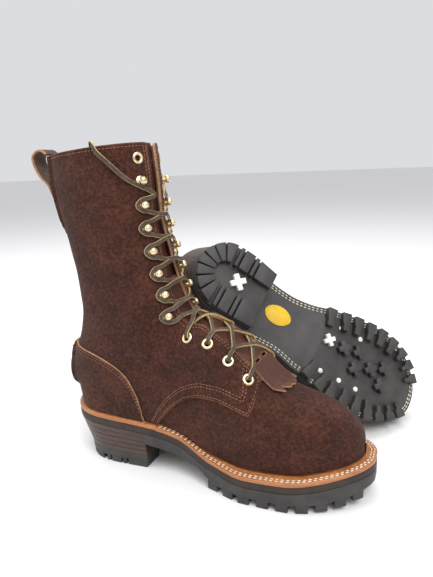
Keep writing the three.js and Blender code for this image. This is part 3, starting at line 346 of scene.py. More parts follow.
def largest_island(tris: Array, count: int) -> Array:
    """Returns the triangles of the largest connected patch."""
    label = np.arange(count)
    while True:
        low = label[tris].min(1)
        new = label.copy()
        for k in range(3):
            np.minimum.at(new, tris[:, k], low)
        new = new[new]
        if np.array_equal(new, label):
            break
        label = new
    names, sizes = np.unique(label[tris[:, 0]], return_counts=True)
    return tris[label[tris[:, 0]] == names[sizes.argmax()]]


def clipped(skin: Skin, value: Array) -> tuple[Array, Array, Array, Array]:
    """Cuts the skin along the line where value is zero.

    Returns:
        The points, normals, triangles and edge distances of the part above zero.
    """
    keep = value > 0
    count = keep[skin.tris].sum(1)
    points, normals = list(skin.points), list(skin.normals)
    edge = list(value)
    made: dict[tuple[int, int], int] = {}

    def crossing(i: int, j: int) -> int:
        key = (min(i, j), max(i, j))
        if key not in made:
            t = min(max(value[i] / (value[i] - value[j]), 0.03), 0.97)
            points.append(skin.points[i] * (1 - t) + skin.points[j] * t)
            normals.append(skin.normals[i] * (1 - t) + skin.normals[j] * t)
            edge.append(0.0)
            made[key] = len(points) - 1
        return made[key]

    cut = []
    for tri in skin.tris[(count > 0) & (count < 3)].tolist():
        poly = []
        for k in range(3):
            i, j = tri[k], tri[(k + 1) % 3]
            if keep[i]:
                poly.append(i)
            if keep[i] != keep[j]:
                poly.append(crossing(i, j) if keep[i] else crossing(j, i))
        cut += [(poly[0], poly[k], poly[k + 1]) for k in range(1, len(poly) - 1)]
    tris = np.concatenate([skin.tris[count == 3], np.array(cut, int).reshape(-1, 3)])
    tris = largest_island(tris, len(points))
    used, tris = np.unique(tris, return_inverse=True)
    pick = lambda a: np.array(a)[used]
    return pick(points), unit(pick(normals)), tris.reshape(-1, 3), pick(edge)


def panel(skin: Skin, value: Array, low: Lift, high: Lift) -> Shape:
    """Returns a leather panel: the skin where value is above zero, between two lifts."""
    points, normals, tris, edge = clipped(skin, value)
    n = len(points)
    both = np.concatenate([points + normals * high(points)[:, None],
                           points + normals * low(points)[:, None]])
    faces = [tuple(t) for t in tris.tolist()]
    looks = [Face.OUTER.value] * len(faces)
    rims = {}
    for a, b, c in faces:
        for u, v in ((a, b), (b, c), (c, a)):
            rims[(u, v)] = True
    walls = [(u, u + n, v + n, v) for u, v in rims if (v, u) not in rims]
    inner = [(a + n, c + n, b + n) for a, b, c in faces]
    looks += [Face.INNER.value] * len(inner) + [Face.CUT.value] * len(walls)
    return Shape(both, faces + inner + walls, looks, np.tile(np.clip(edge, 0, 10), 2))


def grown(amount: float, ripple: float = 0.0) -> Lift:
    """Returns a lift of one amount, with a soft ripple of hide over it."""
    def lift(p: Array) -> Array:
        if not ripple:
            return np.full(len(p), amount)
        waves = [noise.noise(Vector(q * 0.028)) + 0.5 * noise.noise(Vector(q * 0.07)) for q in p]
        return amount + ripple * np.array(waves)
    return lift


def contour(skin: Skin, value: Array) -> list[Array]:
    """Returns the lines on the skin where value is zero, as lists of points."""
    keep = value > 0
    count = keep[skin.tris].sum(1)
    links: dict[tuple[int, int], list[tuple[int, int]]] = {}
    for tri in skin.tris[(count > 0) & (count < 3)].tolist():
        ends = []
        for k in range(3):
            i, j = tri[k], tri[(k + 1) % 3]
            if keep[i] != keep[j]:
                ends.append((min(i, j), max(i, j)))
        links.setdefault(ends[0], []).append(ends[1])
        links.setdefault(ends[1], []).append(ends[0])
    lines, seen = [], set()
    starts = [k for k, v in links.items() if len(v) == 1] + list(links)
    for start in starts:
        if start in seen:
            continue
        line, here = [], start
        while here is not None:
            seen.add(here)
            i, j = here
            t = value[i] / (value[i] - value[j])
            line.append(skin.points[i] * (1 - t) + skin.points[j] * t)
            here = next((k for k in links[here] if k not in seen), None)
        lines.append(np.array(line))
    return lines


def walked(line: Array, pitch: float) -> tuple[Array, Array]:
    """Returns even places along a line and the direction at each."""
    steps = np.linalg.norm(np.diff(line, axis=0), axis=1)
    run = np.concatenate([[0], np.cumsum(steps)])
    if run[-1] < 2 * pitch:
        return np.zeros((0, 3)), np.zeros((0, 3))
    at = np.arange(pitch / 2, run[-1], pitch)
    place = lambda d: np.stack([np.interp(d, run, line[:, k]) for k in range(3)], -1)
    return place(at), unit(place(at + 0.4) - place(at - 0.4))


# ---------------------------------------------------------------- modelling by operator
def alone(obj: bpy.types.Object) -> None:
    """Selects one object and nothing else."""
    bpy.ops.object.select_all(action="DESELECT")
    obj.select_set(True)
    bpy.context.view_layer.objects.active = obj


def harvest(obj: bpy.types.Object) -> Shape:
    """Returns an object's mesh as a shape and removes the object."""
    mesh = obj.data
    shape = Shape.plain(np.array([v.co[:] for v in mesh.vertices]), [p.vertices[:] for p in mesh.polygons])
    bpy.data.objects.remove(obj)
    bpy.data.meshes.remove(mesh)
    return shape


def workpiece(shape: Shape, edges: Sequence[tuple[int, int]] = ()) -> bpy.types.Object:
    """Returns a new object of the shape, selected alone."""
    mesh = bpy.data.meshes.new("workpiece")
    mesh.from_pydata([tuple(p) for p in shape.points], edges, shape.faces)
    obj = bpy.data.objects.new("workpiece", mesh)
    bpy.context.collection.objects.link(obj)
    alone(obj)
    return obj


def spun(profile: Sequence[tuple[float, float]], steps: int, closed: bool = False) -> Shape:
    """Returns a solid of revolution about Z, spun from [radius, height] points."""
    points = np.array([(r, 0.0, h) for r, h in profile])
    edges = [(i, i + 1) for i in range(len(points) - 1)]
    if closed:
        edges.append((len(points) - 1, 0))
    obj = workpiece(Shape.plain(points, []), edges)
    bpy.ops.object.mode_set(mode="EDIT")
    bpy.ops.mesh.select_all(action="SELECT")
    bpy.ops.mesh.spin(steps=steps, angle=2 * math.pi, center=(0, 0, 0), axis=(0, 0, 1))
    bpy.ops.mesh.select_all(action="SELECT")
    bpy.ops.mesh.remove_doubles(threshold=1e-3)
    bpy.ops.mesh.normals_make_consistent(inside=False)
    bpy.ops.object.mode_set(mode="OBJECT")
    return harvest(obj)


def rounded(shape: Shape, width: float, segments: int = 2) -> Shape:
    """Returns the shape with its sharp edges bevelled."""
    obj = workpiece(shape)
    bevel = obj.modifiers.new("bevel", "BEVEL")
    bevel.width = width
    bevel.segments = segments
    bevel.limit_method = "ANGLE"
    bevel.angle_limit = math.radians(35)
    bpy.ops.object.modifier_apply(modifier=bevel.name)
    return harvest(obj)


def bead(length: float, width: float, height: float) -> Shape:
    """Returns one stitch or nail head: a flattened ball."""
    bpy.ops.object.select_all(action="DESELECT")
    bpy.ops.mesh.primitive_uv_sphere_add(segments=8, ring_count=5, radius=0.5)
    obj = bpy.context.object
    bpy.ops.object.mode_set(mode="EDIT")
    bpy.ops.transform.resize(value=(length, width, height))
    bpy.ops.object.mode_set(mode="OBJECT")
    return harvest(obj)


def prisms(outlines: Sequence[tuple[Array, float, float]], bevel: float) -> Shape:
    """Returns bevelled blocks on plan outlines.

    Args:
        outlines: Each block's corners, its low height and its high height.
        bevel: The width of the rounding along its edges.
    """
    made = []
    for corners, low, high in outlines:
        corners = np.asarray(corners, float)
        turn = np.sum(corners[:, 0] * np.roll(corners[:, 1], -1) - np.roll(corners[:, 0], -1) * corners[:, 1])
        corners = corners if turn > 0 else corners[::-1]
        n = len(corners)
        points = np.concatenate([np.column_stack([corners, np.full(n, z)]) for z in (low, high)])
        sides = [(i, (i + 1) % n, (i + 1) % n + n, i + n) for i in range(n)]
        made.append(Shape.plain(points, [tuple(range(n))[::-1], tuple(range(n, 2 * n)), *sides]))
    return rounded(Shape.join(made), bevel)


def lofted(loops: Sequence[Array]) -> Shape:
    """Returns the closed solid through equal loops of points, its ends capped."""
    n = len(loops[0])
    points = np.concatenate(loops)
    faces = [(j * n + i, j * n + (i + 1) % n, (j + 1) * n + (i + 1) % n, (j + 1) * n + i)
             for j in range(len(loops) - 1) for i in range(n)]
    end = (len(loops) - 1) * n
    faces += [tuple(range(n))[::-1], tuple(range(end, end + n))]
    a = points[[f[0] for f in faces[:-2]]]
    b = points[[f[1] for f in faces[:-2]]]
    c = points[[f[2] for f in faces[:-2]]]
    d = points[[f[3] for f in faces[:-2]]]
    volume = np.sum(np.cross(b - a, c - a) * a) + np.sum(np.cross(c - a, d - a) * a)
    return Shape.plain(points, faces if volume > 0 else [f[::-1] for f in faces])


# ---------------------------------------------------------------- shader graphs
class Value:
    """A socket that Python's operators build Math nodes on."""

    def __init__(self, graph: Graph, socket: bpy.types.NodeSocket) -> None:
        """Wraps one output socket of a graph."""
        self.graph, self.socket = graph, socket

    def _math(self, kind: str, *values: Value | float) -> Value:
        """Returns the result of a Math node."""
        sockets = [v.socket if isinstance(v, Value) else v for v in values]
        return self.graph.node("ShaderNodeMath", {"operation": kind}, dict(enumerate(sockets)))

    def __add__(self, other: Value | float) -> Value:
        """Returns the sum."""
        return self._math("ADD", self, other)

    def __sub__(self, other: Value | float) -> Value:
        """Returns the difference."""
        return self._math("SUBTRACT", self, other)

    def __rsub__(self, other: float) -> Value:
        """Returns other minus this."""
        return self._math("SUBTRACT", other, self)

    def __mul__(self, other: Value | float) -> Value:
        """Returns the product."""
        return self._math("MULTIPLY", self, other)

    def __truediv__(self, other: float) -> Value:
        """Returns this over other."""
        return self._math("DIVIDE", self, other)

    __radd__ = __add__
    __rmul__ = __mul__

    def power(self, other: float) -> Value:
        """Returns this to a power."""
        return self._math("POWER", self, other)

    def ramp(self, low: float, high: float) -> Value:
        """Returns 0 at low and below, 1 at high and above, smooth between."""
        links = {0: self.socket, 1: low, 2: high, 3: 0.0, 4: 1.0}
        return self.graph.node("ShaderNodeMapRange", {"interpolation_type": "SMOOTHSTEP"}, links)


class Graph:
    """The node graph of one material."""

    def __init__(self, name: str) -> None:
        """Makes the material with its shader."""
        self.material = bpy.data.materials.new(name)
        self.material.use_nodes = True
        self.tree = self.material.node_tree
        self.shader = self.tree.nodes["Principled BSDF"]
        self.here = Value(self, self.tree.nodes.new("ShaderNodeTexCoord").outputs["Object"])

    def node(self, kind: str, settings: dict, sockets: dict, out: int | str = 0) -> Value:
        """Adds a node.

        Args:
            kind: The node's type.
            settings: Its properties, set first.
            sockets: Values or links, by input name or number.
            out: The output that is wanted.

        Returns:
            The wanted output.
        """
        made = self.tree.nodes.new(kind)
        for name, value in settings.items():
            setattr(made, name, value)
        for name, value in sockets.items():
            value = value.socket if isinstance(value, Value) else value
            if isinstance(value, bpy.types.NodeSocket):
                self.tree.links.new(value, made.inputs[name])
            else:
                made.inputs[name].default_value = value
        return Value(self, made.outputs[out])

    def grain(self, scale: float, detail: float = 3.0, stretch: tuple = (1, 1, 1)) -> Value:
        """Returns noise with this many waves to the metre."""
        where = self.node("ShaderNodeMapping", {}, {"Vector": self.here, "Scale": stretch})
        return self.node("ShaderNodeTexNoise", {}, {"Vector": where, "Scale": scale, "Detail": detail,
                                                    "Roughness": 0.6})

    def cells(self, scale: float) -> Value:
        """Returns the distance to the middle of each cell of a pebbled pattern."""
        return self.node("ShaderNodeTexVoronoi", {}, {"Vector": self.here, "Scale": scale})

    def mixed(self, mask: Value, a: Value | tuple, b: Value | tuple) -> Value:
        """Returns colour a where mask is 0 and b where it is 1."""
        full = lambda c: c if isinstance(c, Value) else (*c, 1.0)
        return self.node("ShaderNodeMix", {"data_type": "RGBA"}, {0: mask, 6: full(a), 7: full(b)}, 2)

    def finish(self, colour: Value, roughness: Value, height: Value, depth: float,
               fixed: dict[str, float]) -> bpy.types.Material:
        """Links the surface and returns the material.

        Args:
            colour: The base colour.
            roughness: The roughness.
            height: The relief, from 0 to 1.
            depth: How far the relief stands, in metres.
            fixed: The shader's sockets that are the same all over.
        """
        bump = self.node("ShaderNodeBump", {}, {"Height": height, "Distance": depth, "Strength": 1.0})
        for name, value in (("Base Color", colour), ("Roughness", roughness), ("Normal", bump)):
            self.tree.links.new(value.socket, self.shader.inputs[name])
        for name, value in fixed.items():
            self.shader.inputs[name].default_value = value
        return self.material


RGB = tuple[float, float, float]


@dataclass(frozen=True)
class Hide:
    """Leather: rough-out suede, smooth grain, cut edge or lining."""

    name: str
    dark: RGB
    light: RGB
    roughness: float
    nap: float
    pebble: float = 0.0
    worn: RGB | None = None
    sheen: float = 0.0

    def material(self) -> bpy.types.Material:
        """Returns the leather."""
        g = Graph(self.name)
        broad, tufts, fibre = g.grain(38, 4), g.grain(340, 6), g.grain(1700, 3)
        tone = (broad * 0.45 + tufts * 0.85 + fibre * 0.35 - 0.33).ramp(0.28, 0.86)
        colour = g.mixed(tone, self.dark, self.light)
        if self.worn:
            edge = g.node("ShaderNodeAttribute", {"attribute_name": "edge"}, {}, "Fac")
            rubbed = (1.0 - edge.ramp(0.0, 1.5)) * (broad * 1.3).ramp(0.4, 0.8)
            colour = g.mixed(rubbed * 0.55, colour, self.worn)
        height = tufts * self.nap + fibre * 0.35
        if self.pebble:
            height = height + g.cells(950).ramp(0.0, 0.6) * self.pebble
        return g.finish(colour, tone * -0.12 + self.roughness, height, 0.0009,
                        {"Sheen Weight": self.sheen, "Specular IOR Level": 0.3})


@dataclass(frozen=True)
class Moulded:
    """Rubber: lugs, slip sole and inlays."""

    name: str
    dark: RGB
    light: RGB
    roughness: float
    shine: float = 0.35

    def material(self) -> bpy.types.Material:
        """Returns the rubber."""
        g = Graph(self.name)
        broad, fine = g.grain(55, 4), g.grain(1300, 3)
        colour = g.mixed((broad * 0.8 + fine * 0.4 - 0.1).ramp(0.25, 0.8), self.dark, self.light)
        return g.finish(colour, broad * 0.18 + (self.roughness - 0.09), fine, 0.00025,
                        {"Specular IOR Level": self.shine})


@dataclass(frozen=True)
class Stacked:
    """Edges of leather cut and burnished: rand, midsole and heel lifts."""

    name: str
    dark: RGB
    light: RGB
    roughness: float
    waxed: float

    def material(self) -> bpy.types.Material:
        """Returns the edge leather, streaked along its layers."""
        g = Graph(self.name)
        streaks = g.grain(60, 5, (0.5, 0.5, 9.0))
        flecks = g.grain(700, 3, (0.4, 0.4, 1.6))
        tone = (streaks * 0.9 + flecks * 0.5 - 0.2).ramp(0.25, 0.8)
        colour = g.mixed(tone, self.dark, self.light)
        return g.finish(colour, tone * 0.15 + self.roughness, streaks * 0.6 + flecks * 0.5, 0.0004,
                        {"Coat Weight": self.waxed, "Coat Roughness": 0.35})


@dataclass(frozen=True)
class Metal:
    """Brass or steel with a handled surface."""

    name: str
    dark: RGB
    light: RGB
    roughness: float

    def material(self) -> bpy.types.Material:
        """Returns the metal."""
        g = Graph(self.name)
        broad, fine = g.grain(230, 4), g.grain(2600, 2)
        colour = g.mixed(broad.ramp(0.3, 0.7), self.dark, self.light)
        return g.finish(colour, broad * 0.25 + (self.roughness - 0.1), fine, 0.00006, {"Metallic": 1.0})


ROUGH = Hide("rough", (0.020, 0.0052, 0.0026), (0.098, 0.029, 0.0145), 0.95, 1.3,
             worn=(0.26, 0.10, 0.05), sheen=0.03)
COUNTER = Hide("counter_rough", (0.022, 0.0058, 0.003), (0.106, 0.032, 0.0165), 0.95, 1.3,
               worn=(0.48, 0.26, 0.14), sheen=0.03)
SMOOTH = Hide("smooth", (0.050, 0.0150, 0.0095), (0.118, 0.039, 0.024), 0.46, 0.15, 0.5,
              worn=(0.26, 0.11, 0.06))
LINING = Hide("lining", (0.13, 0.075, 0.045), (0.27, 0.17, 0.11), 0.80, 0.4)
STRAP_FACE = Hide("strap_face", (0.075, 0.045, 0.032), (0.16, 0.10, 0.075), 0.62, 0.25, 0.3)
CUT = Hide("cut_edge", (0.28, 0.14, 0.07), (0.55, 0.33, 0.18), 0.85, 0.7)
LACE_FACE = Hide("lace", (0.040, 0.027, 0.020), (0.105, 0.075, 0.058), 0.52, 0.3, 0.2)
LACE_CUT = Hide("lace_cut", (0.42, 0.29, 0.11), (0.66, 0.50, 0.22), 0.70, 0.4)
INSOLE = Hide("insole", (0.36, 0.23, 0.13), (0.55, 0.38, 0.24), 0.75, 0.3)
CORK = Hide("cork", (0.22, 0.13, 0.07), (0.42, 0.28, 0.17), 0.95, 1.0)
THREAD = Hide("thread", (0.62, 0.54, 0.40), (0.86, 0.80, 0.66), 0.75, 0.5)
DARK_THREAD = Hide("dark_thread", (0.15, 0.065, 0.040), (0.27, 0.13, 0.085), 0.70, 0.5)
RAND = Stacked("rand", (0.26, 0.082, 0.022), (0.47, 0.185, 0.055), 0.42, 0.25)
STACK = Stacked("stack", (0.017, 0.009, 0.006), (0.085, 0.035, 0.02), 0.45, 0.2)
# The slip rubber below is also the painted shade inside the heel's nail holes.
SLIP_AND_HOLE_SHADE = Moulded("slip", (0.020, 0.013, 0.010), (0.050, 0.034, 0.027), 0.60)
RUBBER = Moulded("rubber", (0.016, 0.0145, 0.0135), (0.052, 0.047, 0.044), 0.55, 0.5)
OCHRE = Moulded("ochre", (0.62, 0.36, 0.01), (0.80, 0.52, 0.02), 0.45)
PALE = Moulded("pale", (0.62, 0.61, 0.57), (0.82, 0.81, 0.78), 0.55)
BRASS = Metal("brass", (0.62, 0.47, 0.24), (0.88, 0.76, 0.50), 0.30)
STEEL = Metal("steel", (0.42, 0.43, 0.45), (0.60, 0.61, 0.63), 0.40)

FINISHES: dict[object, bpy.types.Material] = {}


def dressed(finish: Hide | Moulded | Stacked | Metal) -> bpy.types.Material:
    """Returns the material of a finish, made once."""
    if finish not in FINISHES:
        FINISHES[finish] = finish.material()
    return FINISHES[finish]


# ---------------------------------------------------------------- where the two boots are
class Side(Enum):
    """The two boots of the pair."""

    RIGHT = "right"
    LEFT = "left"


@dataclass
class Placement:
    """Carries boot millimetres to metres in the frame."""

    side: Side
    turn: Array
    shift: Array

    def points(self, p: Array) -> Array:
        """Returns boot points in metres in the frame."""
        return (np.asarray(p, float) @ self.turn.T + self.shift) * MM

    @property
    def mirrored(self) -> bool:
        """Whether the boot is the other hand."""
        return self.side is Side.LEFT


LYING = {"roll": -123.0, "pitch": 36.4, "yaw": 26.1}


def box_centre(node: str) -> Array:
    """Returns the middle of a node's box, in millimetres."""
    lo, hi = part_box(node)
    return (np.array(lo) + np.array(hi)) / 2 / MM


def placements() -> dict[Side, Placement]:
    """Returns both boots' places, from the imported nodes."""
    lo, hi = (np.array(v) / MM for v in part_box("right_slip_sole"))
    widest = float(np.max(sole_half(LATERAL, np.linspace(150, 300, 600))))
    right = np.array([hi[0] - (SOLE_TIP - 0.6), lo[1] + widest, 0.0])
    turn = (Matrix.Rotation(math.radians(LYING["yaw"]), 3, "Z")
            @ Matrix.Rotation(math.radians(LYING["pitch"]), 3, "Y")
            @ Matrix.Rotation(math.radians(LYING["roll"]), 3, "X") @ Matrix.Diagonal((1, -1, 1)))
    turn = np.array(turn)
    mark = box_centre("right_sole_cross") - right
    left = box_centre("left_sole_cross") - turn @ mark
    return {Side.RIGHT: Placement(Side.RIGHT, np.eye(3), right),
            Side.LEFT: Placement(Side.LEFT, turn, left)}


def put(name: str, shape: Shape, place: Placement, finishes: Sequence, smooth: float = 40.0) -> bpy.types.Object:
    """Makes a finished piece of one boot.

    Args:
        name: The piece's name, without its side.
        shape: Its mesh in boot millimetres.
        place: Which boot it is for.
        finishes: The finish of the outer, cut and inner faces.
        smooth: The angle in degrees past which an edge stays sharp.

    Returns:
        The new object.
    """
    faces = [f[::-1] for f in shape.faces] if place.mirrored else shape.faces
    mesh = bpy.data.meshes.new(f"{place.side.value}_{name}")
    mesh.from_pydata([tuple(p) for p in place.points(shape.points)], [], faces)
    for finish in finishes:
        mesh.materials.append(dressed(finish))
    last = len(finishes) - 1
    mesh.polygons.foreach_set("material_index", [min(k, last) for k in shape.looks])
    edge = mesh.attributes.new("edge", "FLOAT", "POINT")
    edge.data.foreach_set("value", shape.edge.astype(np.float32))
    obj = bpy.data.objects.new(f"{place.side.value}_{name}_made", mesh)
    bpy.context.collection.objects.link(obj)
    alone(obj)
    bpy.ops.object.shade_smooth_by_angle(angle=math.radians(smooth))
    LOG.info("%s: %d faces", obj.name, len(mesh.polygons))
    return obj


@dataclass
class Recipe:
    """One piece that both boots have."""

    name: str
    shape: Shape
    finishes: Sequence
    slot: str
    nodes: Sequence[str] = ()
    body: str = "boot"
    smooth: float = 40.0
    hinge: tuple[float, float] | None = None

    def make(self, place: Placement) -> None:
        """Makes the piece on one boot, bakes its placement into the mesh if it has hinge ends or else parents it
        to its body, and hides the nodes it stands for.
        """
        side = place.side.value
        obj = put(self.name, self.shape, place, self.finishes, self.smooth)
        if self.hinge:
            start, end = (place.points(np.array([x, 0.0, 100.0])) for x in self.hinge)
            tuple(start)
            tuple(end)
            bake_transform(obj)
        else:
            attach(obj, f"{side}_{self.body}")
        if self.nodes:
            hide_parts(*[f"{side}_{n}" for n in self.nodes])


# ---------------------------------------------------------------- the upper
def above_sole(p: Array) -> Array:
    """Returns the height of points over the sole's top."""
    return p[:, 2] - SOLE_TOP(p[:, 0]) - 0.6


def below_rim(p: Array) -> Array:
    """Returns the depth of points under the sloping rim."""
    return SHAFT_TOP + 4.5 * np.clip((p[:, 0] - 46) / 52, -1, 1) - p[:, 2]


def behind_seam(p: Array) -> Array:
    """Returns above zero on the quarters' side of the seam with the vamp."""
    return np.minimum((p[:, 2] - SEAM_HEIGHT(p[:, 0])) * 0.9, TAB_FRONT(p[:, 2]) - p[:, 0])


def beside_gap(p: Array) -> Array:
    """Returns above zero outside the lacing gap."""
    return np.where(p[:, 0] < 45, 50.0, np.abs(p[:, 1]) - GAP_HALF(p[:, 2]))


def least(*values: Array) -> Array:
    """Returns the least of the values at each point."""
    return np.minimum.reduce(values)


@dataclass
class Stitcher:
    """Sews rows of stitches along lines on the upper."""

    skin: Skin
    pitch: float = 3.3
    stitch: Shape = field(default_factory=lambda: bead(2.7, 0.95, 0.8))

    def row(self, value: Array, lift: float, keep: Callable[[Array], Array]) -> list[Shape]:
        """Returns the stitches of one row.

        Args:
            value: A number at each skin point, zero along the row.
            lift: The height of the thread over the skin.
            keep: Above zero where the row is sewn.
        """
        made = []
        for line in contour(self.skin, value):
            places, along = walked(line, self.pitch)
            if len(places) == 0:
                continue
            on = keep(places) > 0
            if not on.any():
                continue
            places, along = places[on], along[on]
            normals = surface_normal(places)
            made.append(self.stitch.copies(places + normals * lift, along, normals))
        return made


@dataclass
class Upper:
    """The leather panels, the tongue, the strip at the back and their stitching."""

    skin: Skin
    vamp_high: float = -LEATHER - LAYER_GAP
    vamp_low: float = -2 * LEATHER - LAYER_GAP
    cover_high: float = LAYER_GAP + 1.6
    strip_half: float = 11.0
    strip_low: float = 120.5
    holes: Array = field(default_factory=lambda: np.zeros((0, 3)))
    hole_radius: float = 3.9
    rows_at: tuple[float, ...] = (2.4, 9.6, 12.0)

    def vamp(self) -> Recipe:
        """Returns the vamp, from the toe to under the quarters."""
        p = self.skin.points
        value = least(above_sole(p), 4 - behind_seam(p))
        shape = panel(self.skin, value, grown(self.vamp_low), grown(self.vamp_high, 0.35))
        return Recipe("vamp", shape, (ROUGH, CUT, LINING), "rough", ("vamp",))

    def quarter(self, side: int) -> Recipe:
        """Returns one quarter with its shaft half and facing."""
        p = self.skin.points
        value = least(above_sole(p), below_rim(p), behind_seam(p), beside_gap(p), side * p[:, 1] - 0.2)
        for hole in self.holes:
            value = np.minimum(value, np.linalg.norm(p - hole, axis=1) - self.hole_radius)
        name = "quarter_lateral" if side < 0 else "quarter_medial"
        shape = panel(self.skin, value, grown(-LEATHER), grown(0.0, 0.4))
        return Recipe(name, shape, (ROUGH, CUT, LINING), "rough", (name,))

    def counter(self) -> Recipe:
        """Returns the cover over the heel counter."""
        p = self.skin.points
        value = least(above_sole(p) - 0.8, COUNTER_TOP(p[:, 0]) - p[:, 2], 92 - p[:, 0])
        shape = panel(self.skin, value, grown(0.05), grown(self.cover_high, 0.3))
        return Recipe("counter_cover", shape, (COUNTER, CUT, LINING), "rough", ("counter_cover",))

    def back_strip(self) -> Recipe:
        """Returns the strip down the back seam."""
        p = self.skin.points
        value = least(self.strip_half - np.abs(p[:, 1]), below_rim(p), p[:, 2] - self.strip_low, 30 - p[:, 0])
        shape = panel(self.skin, value, grown(0.05), grown(self.cover_high - 0.2, 0.2))
        return Recipe("back_strip", shape, (ROUGH, CUT, LINING), "rough", ("back_strip",))

    def tongue(self) -> Recipe:
        """Returns the tongue behind the lacing."""
        p = self.skin.points
        value = least(GAP_HALF(p[:, 2]) + 14 - np.abs(p[:, 1]), below_rim(p) + 3,
                      200 - p[:, 0], p[:, 0] - 60, p[:, 2] - 88)
        shape = panel(self.skin, value, grown(self.vamp_low - 3), grown(self.vamp_low - 1, 0.3))
        return Recipe("tongue", shape, (SMOOTH, CUT, LINING), "smooth", ("tongue",))

    def stitching(self) -> Recipe:
        """Returns the dark stitch rows of the panels."""
        sew, p, made = Stitcher(self.skin), self.skin.points, []
        clear = lambda q: least(above_sole(q) - 3, below_rim(q) - 2, beside_gap(q) - 1.5)
        covered = lambda q: np.where(q[:, 0] < 92, q[:, 2] - COUNTER_TOP(q[:, 0]) - 1, 5.0)
        for at in self.rows_at:
            made += sew.row(behind_seam(p) - at, 0.35, lambda q: np.minimum(clear(q), covered(q)))
        for at in (2.2, 4.8):
            made += sew.row(beside_gap(p) - at, 0.35,
                            lambda q: least(behind_seam(q) - 1.5, below_rim(q) - 2, q[:, 0] - 60))
        for at in (2.6, 5.6):
            made += sew.row(COUNTER_TOP(p[:, 0]) - p[:, 2] - at, self.cover_high + 0.3,
                            lambda q: least(88 - q[:, 0], above_sole(q) - 4, 30 - np.abs(q[:, 0] - 60) * 0))
        for edge in (2.2, self.strip_half * 2 - 2.2):
            made += sew.row(p[:, 1] + self.strip_half - edge, self.cover_high + 0.1,
                            lambda q: least(20 - q[:, 0], q[:, 2] - self.strip_low - 2, below_rim(q) - 2))
        made += sew.row(below_rim(p) - 3.2, 0.35,
                        lambda q: least(beside_gap(q) - 3, np.abs(q[:, 1]) - self.strip_half - 1))
        return Recipe("stitching", Shape.join(made), (DARK_THREAD,), "rough", (), smooth=80)

    def recipes(self) -> list[Recipe]:
        """Returns every piece of the upper."""
        return [self.vamp(), self.quarter(LATERAL), self.quarter(MEDIAL), self.counter(),
                self.back_strip(), self.tongue(), self.stitching()]


@dataclass
class Kiltie:
    """The smooth leather shield over the throat, fringed at its lower end."""

    half: float = 21.5
    top: float = 189.0
    end: float = 231.0
    teeth: int = 5
    tooth: float = 7.0
    hinge: float = 209.0
    thick: float = 1.8
    over: float = -0.9
    slot_x: float = 199.0

    def lift(self, p: Array) -> Array:
        """Returns the height of the kiltie's underside."""
        low = blend_value(-2 * LEATHER - LAYER_GAP + 0.5, self.over, (p[:, 0] - 182) / 16)
        flare = blend_value(0.0, 2.6, (p[:, 0] - 216) / 14) * (1 + 0.5 * np.sin(p[:, 1] * 0.55))
        return low + flare

    def recipe(self) -> Recipe:
        """Returns the kiltie, shaped over the throat."""
        skin = front_skin(ring_where(CREST_X, 236, 0, 9), ring_where(CREST_Z, self.top + 3, 8, 16),
                          260, 0.95, 120)
        p = skin.points
        x, y, z = p.T
        wide = np.where(x > 196, blend_value(GAP_HALF(z) - 1.3, self.half + 1.5, (x - 196) / 12),
                        GAP_HALF(z) - 1.3)
        phase = (y / (self.half + 1.5) + 1) / 2 * self.teeth
        wave = np.abs((phase % 1) * 2 - 1)
        fringe = self.end - 5 * (y / self.half) ** 2 - self.tooth * wave - x
        slot = np.maximum(np.abs(x - self.slot_x) - 0.9, np.abs(np.abs(y) - 9) - 6)
        value = least(wide - np.abs(y), fringe * 0.7, self.top - z, slot * 1.2)
        shape = panel(skin, value, self.lift, lambda q: self.lift(q) + self.thick)
        return Recipe("kiltie", shape, (SMOOTH, CUT, LINING), "smooth", ("kiltie", "kiltie_flap"),
                      hinge=(self.hinge - 4, self.hinge + 6))


# ---------------------------------------------------------------- eyelets, hooks and lace
@dataclass
class Facing:
    """Lines beside the facing edge, on which the hardware and the lace lie."""

    skin: Skin
    margin: float = 12.0
    eyelet_x: tuple[float, ...] = (199, 180, 159, 138)
    hook_z: tuple[float, ...] = (156, 175.5, 195, 215.5, 236.5, 258, 279.5)
    top_z: float = 299.5

    lines: dict[tuple[int, float], Array] = field(default_factory=dict)

    def line(self, side: int, off: float) -> Array:
        """Returns a line of points that stand off one facing edge, from the throat to the rim."""
        key = (side, round(off, 3))
        if key not in self.lines:
            s = np.linspace(2.5, LAST_RING, 90)
            crest = ring_points(s, 0 * s)[:, 2]
            wanted = GAP_HALF(crest - 6) + off * 0.97
            low, high = np.zeros(len(s)), np.full(len(s), 1.4)
            for _ in range(14):
                a = (low + high) / 2
                near = np.abs(ring_points(s, side * a)[:, 1]) < wanted
                low, high = np.where(near, a, low), np.where(near, high, a)
            self.lines[key] = ring_points(s, side * (low + high) / 2)
        return self.lines[key]

    def at(self, side: int, off: float, x: float = 0.0, z: float = 0.0) -> Array:
        """Returns the point off the facing edge at this x on the instep, or this z on the shaft."""
        line = self.line(side, off)
        part, k, value = (line[48:], 2, z) if z else (line[:54][::-1], 0, x)
        order = np.argsort(part[:, k])
        return np.array([np.interp(value, part[order, k], part[order, i]) for i in range(3)])

    def spots(self) -> list[dict[str, float]]:
        """Returns the laced places, from the throat up."""
        return [{"x": x} for x in self.eyelet_x] + [{"z": z} for z in self.hook_z[:6]]


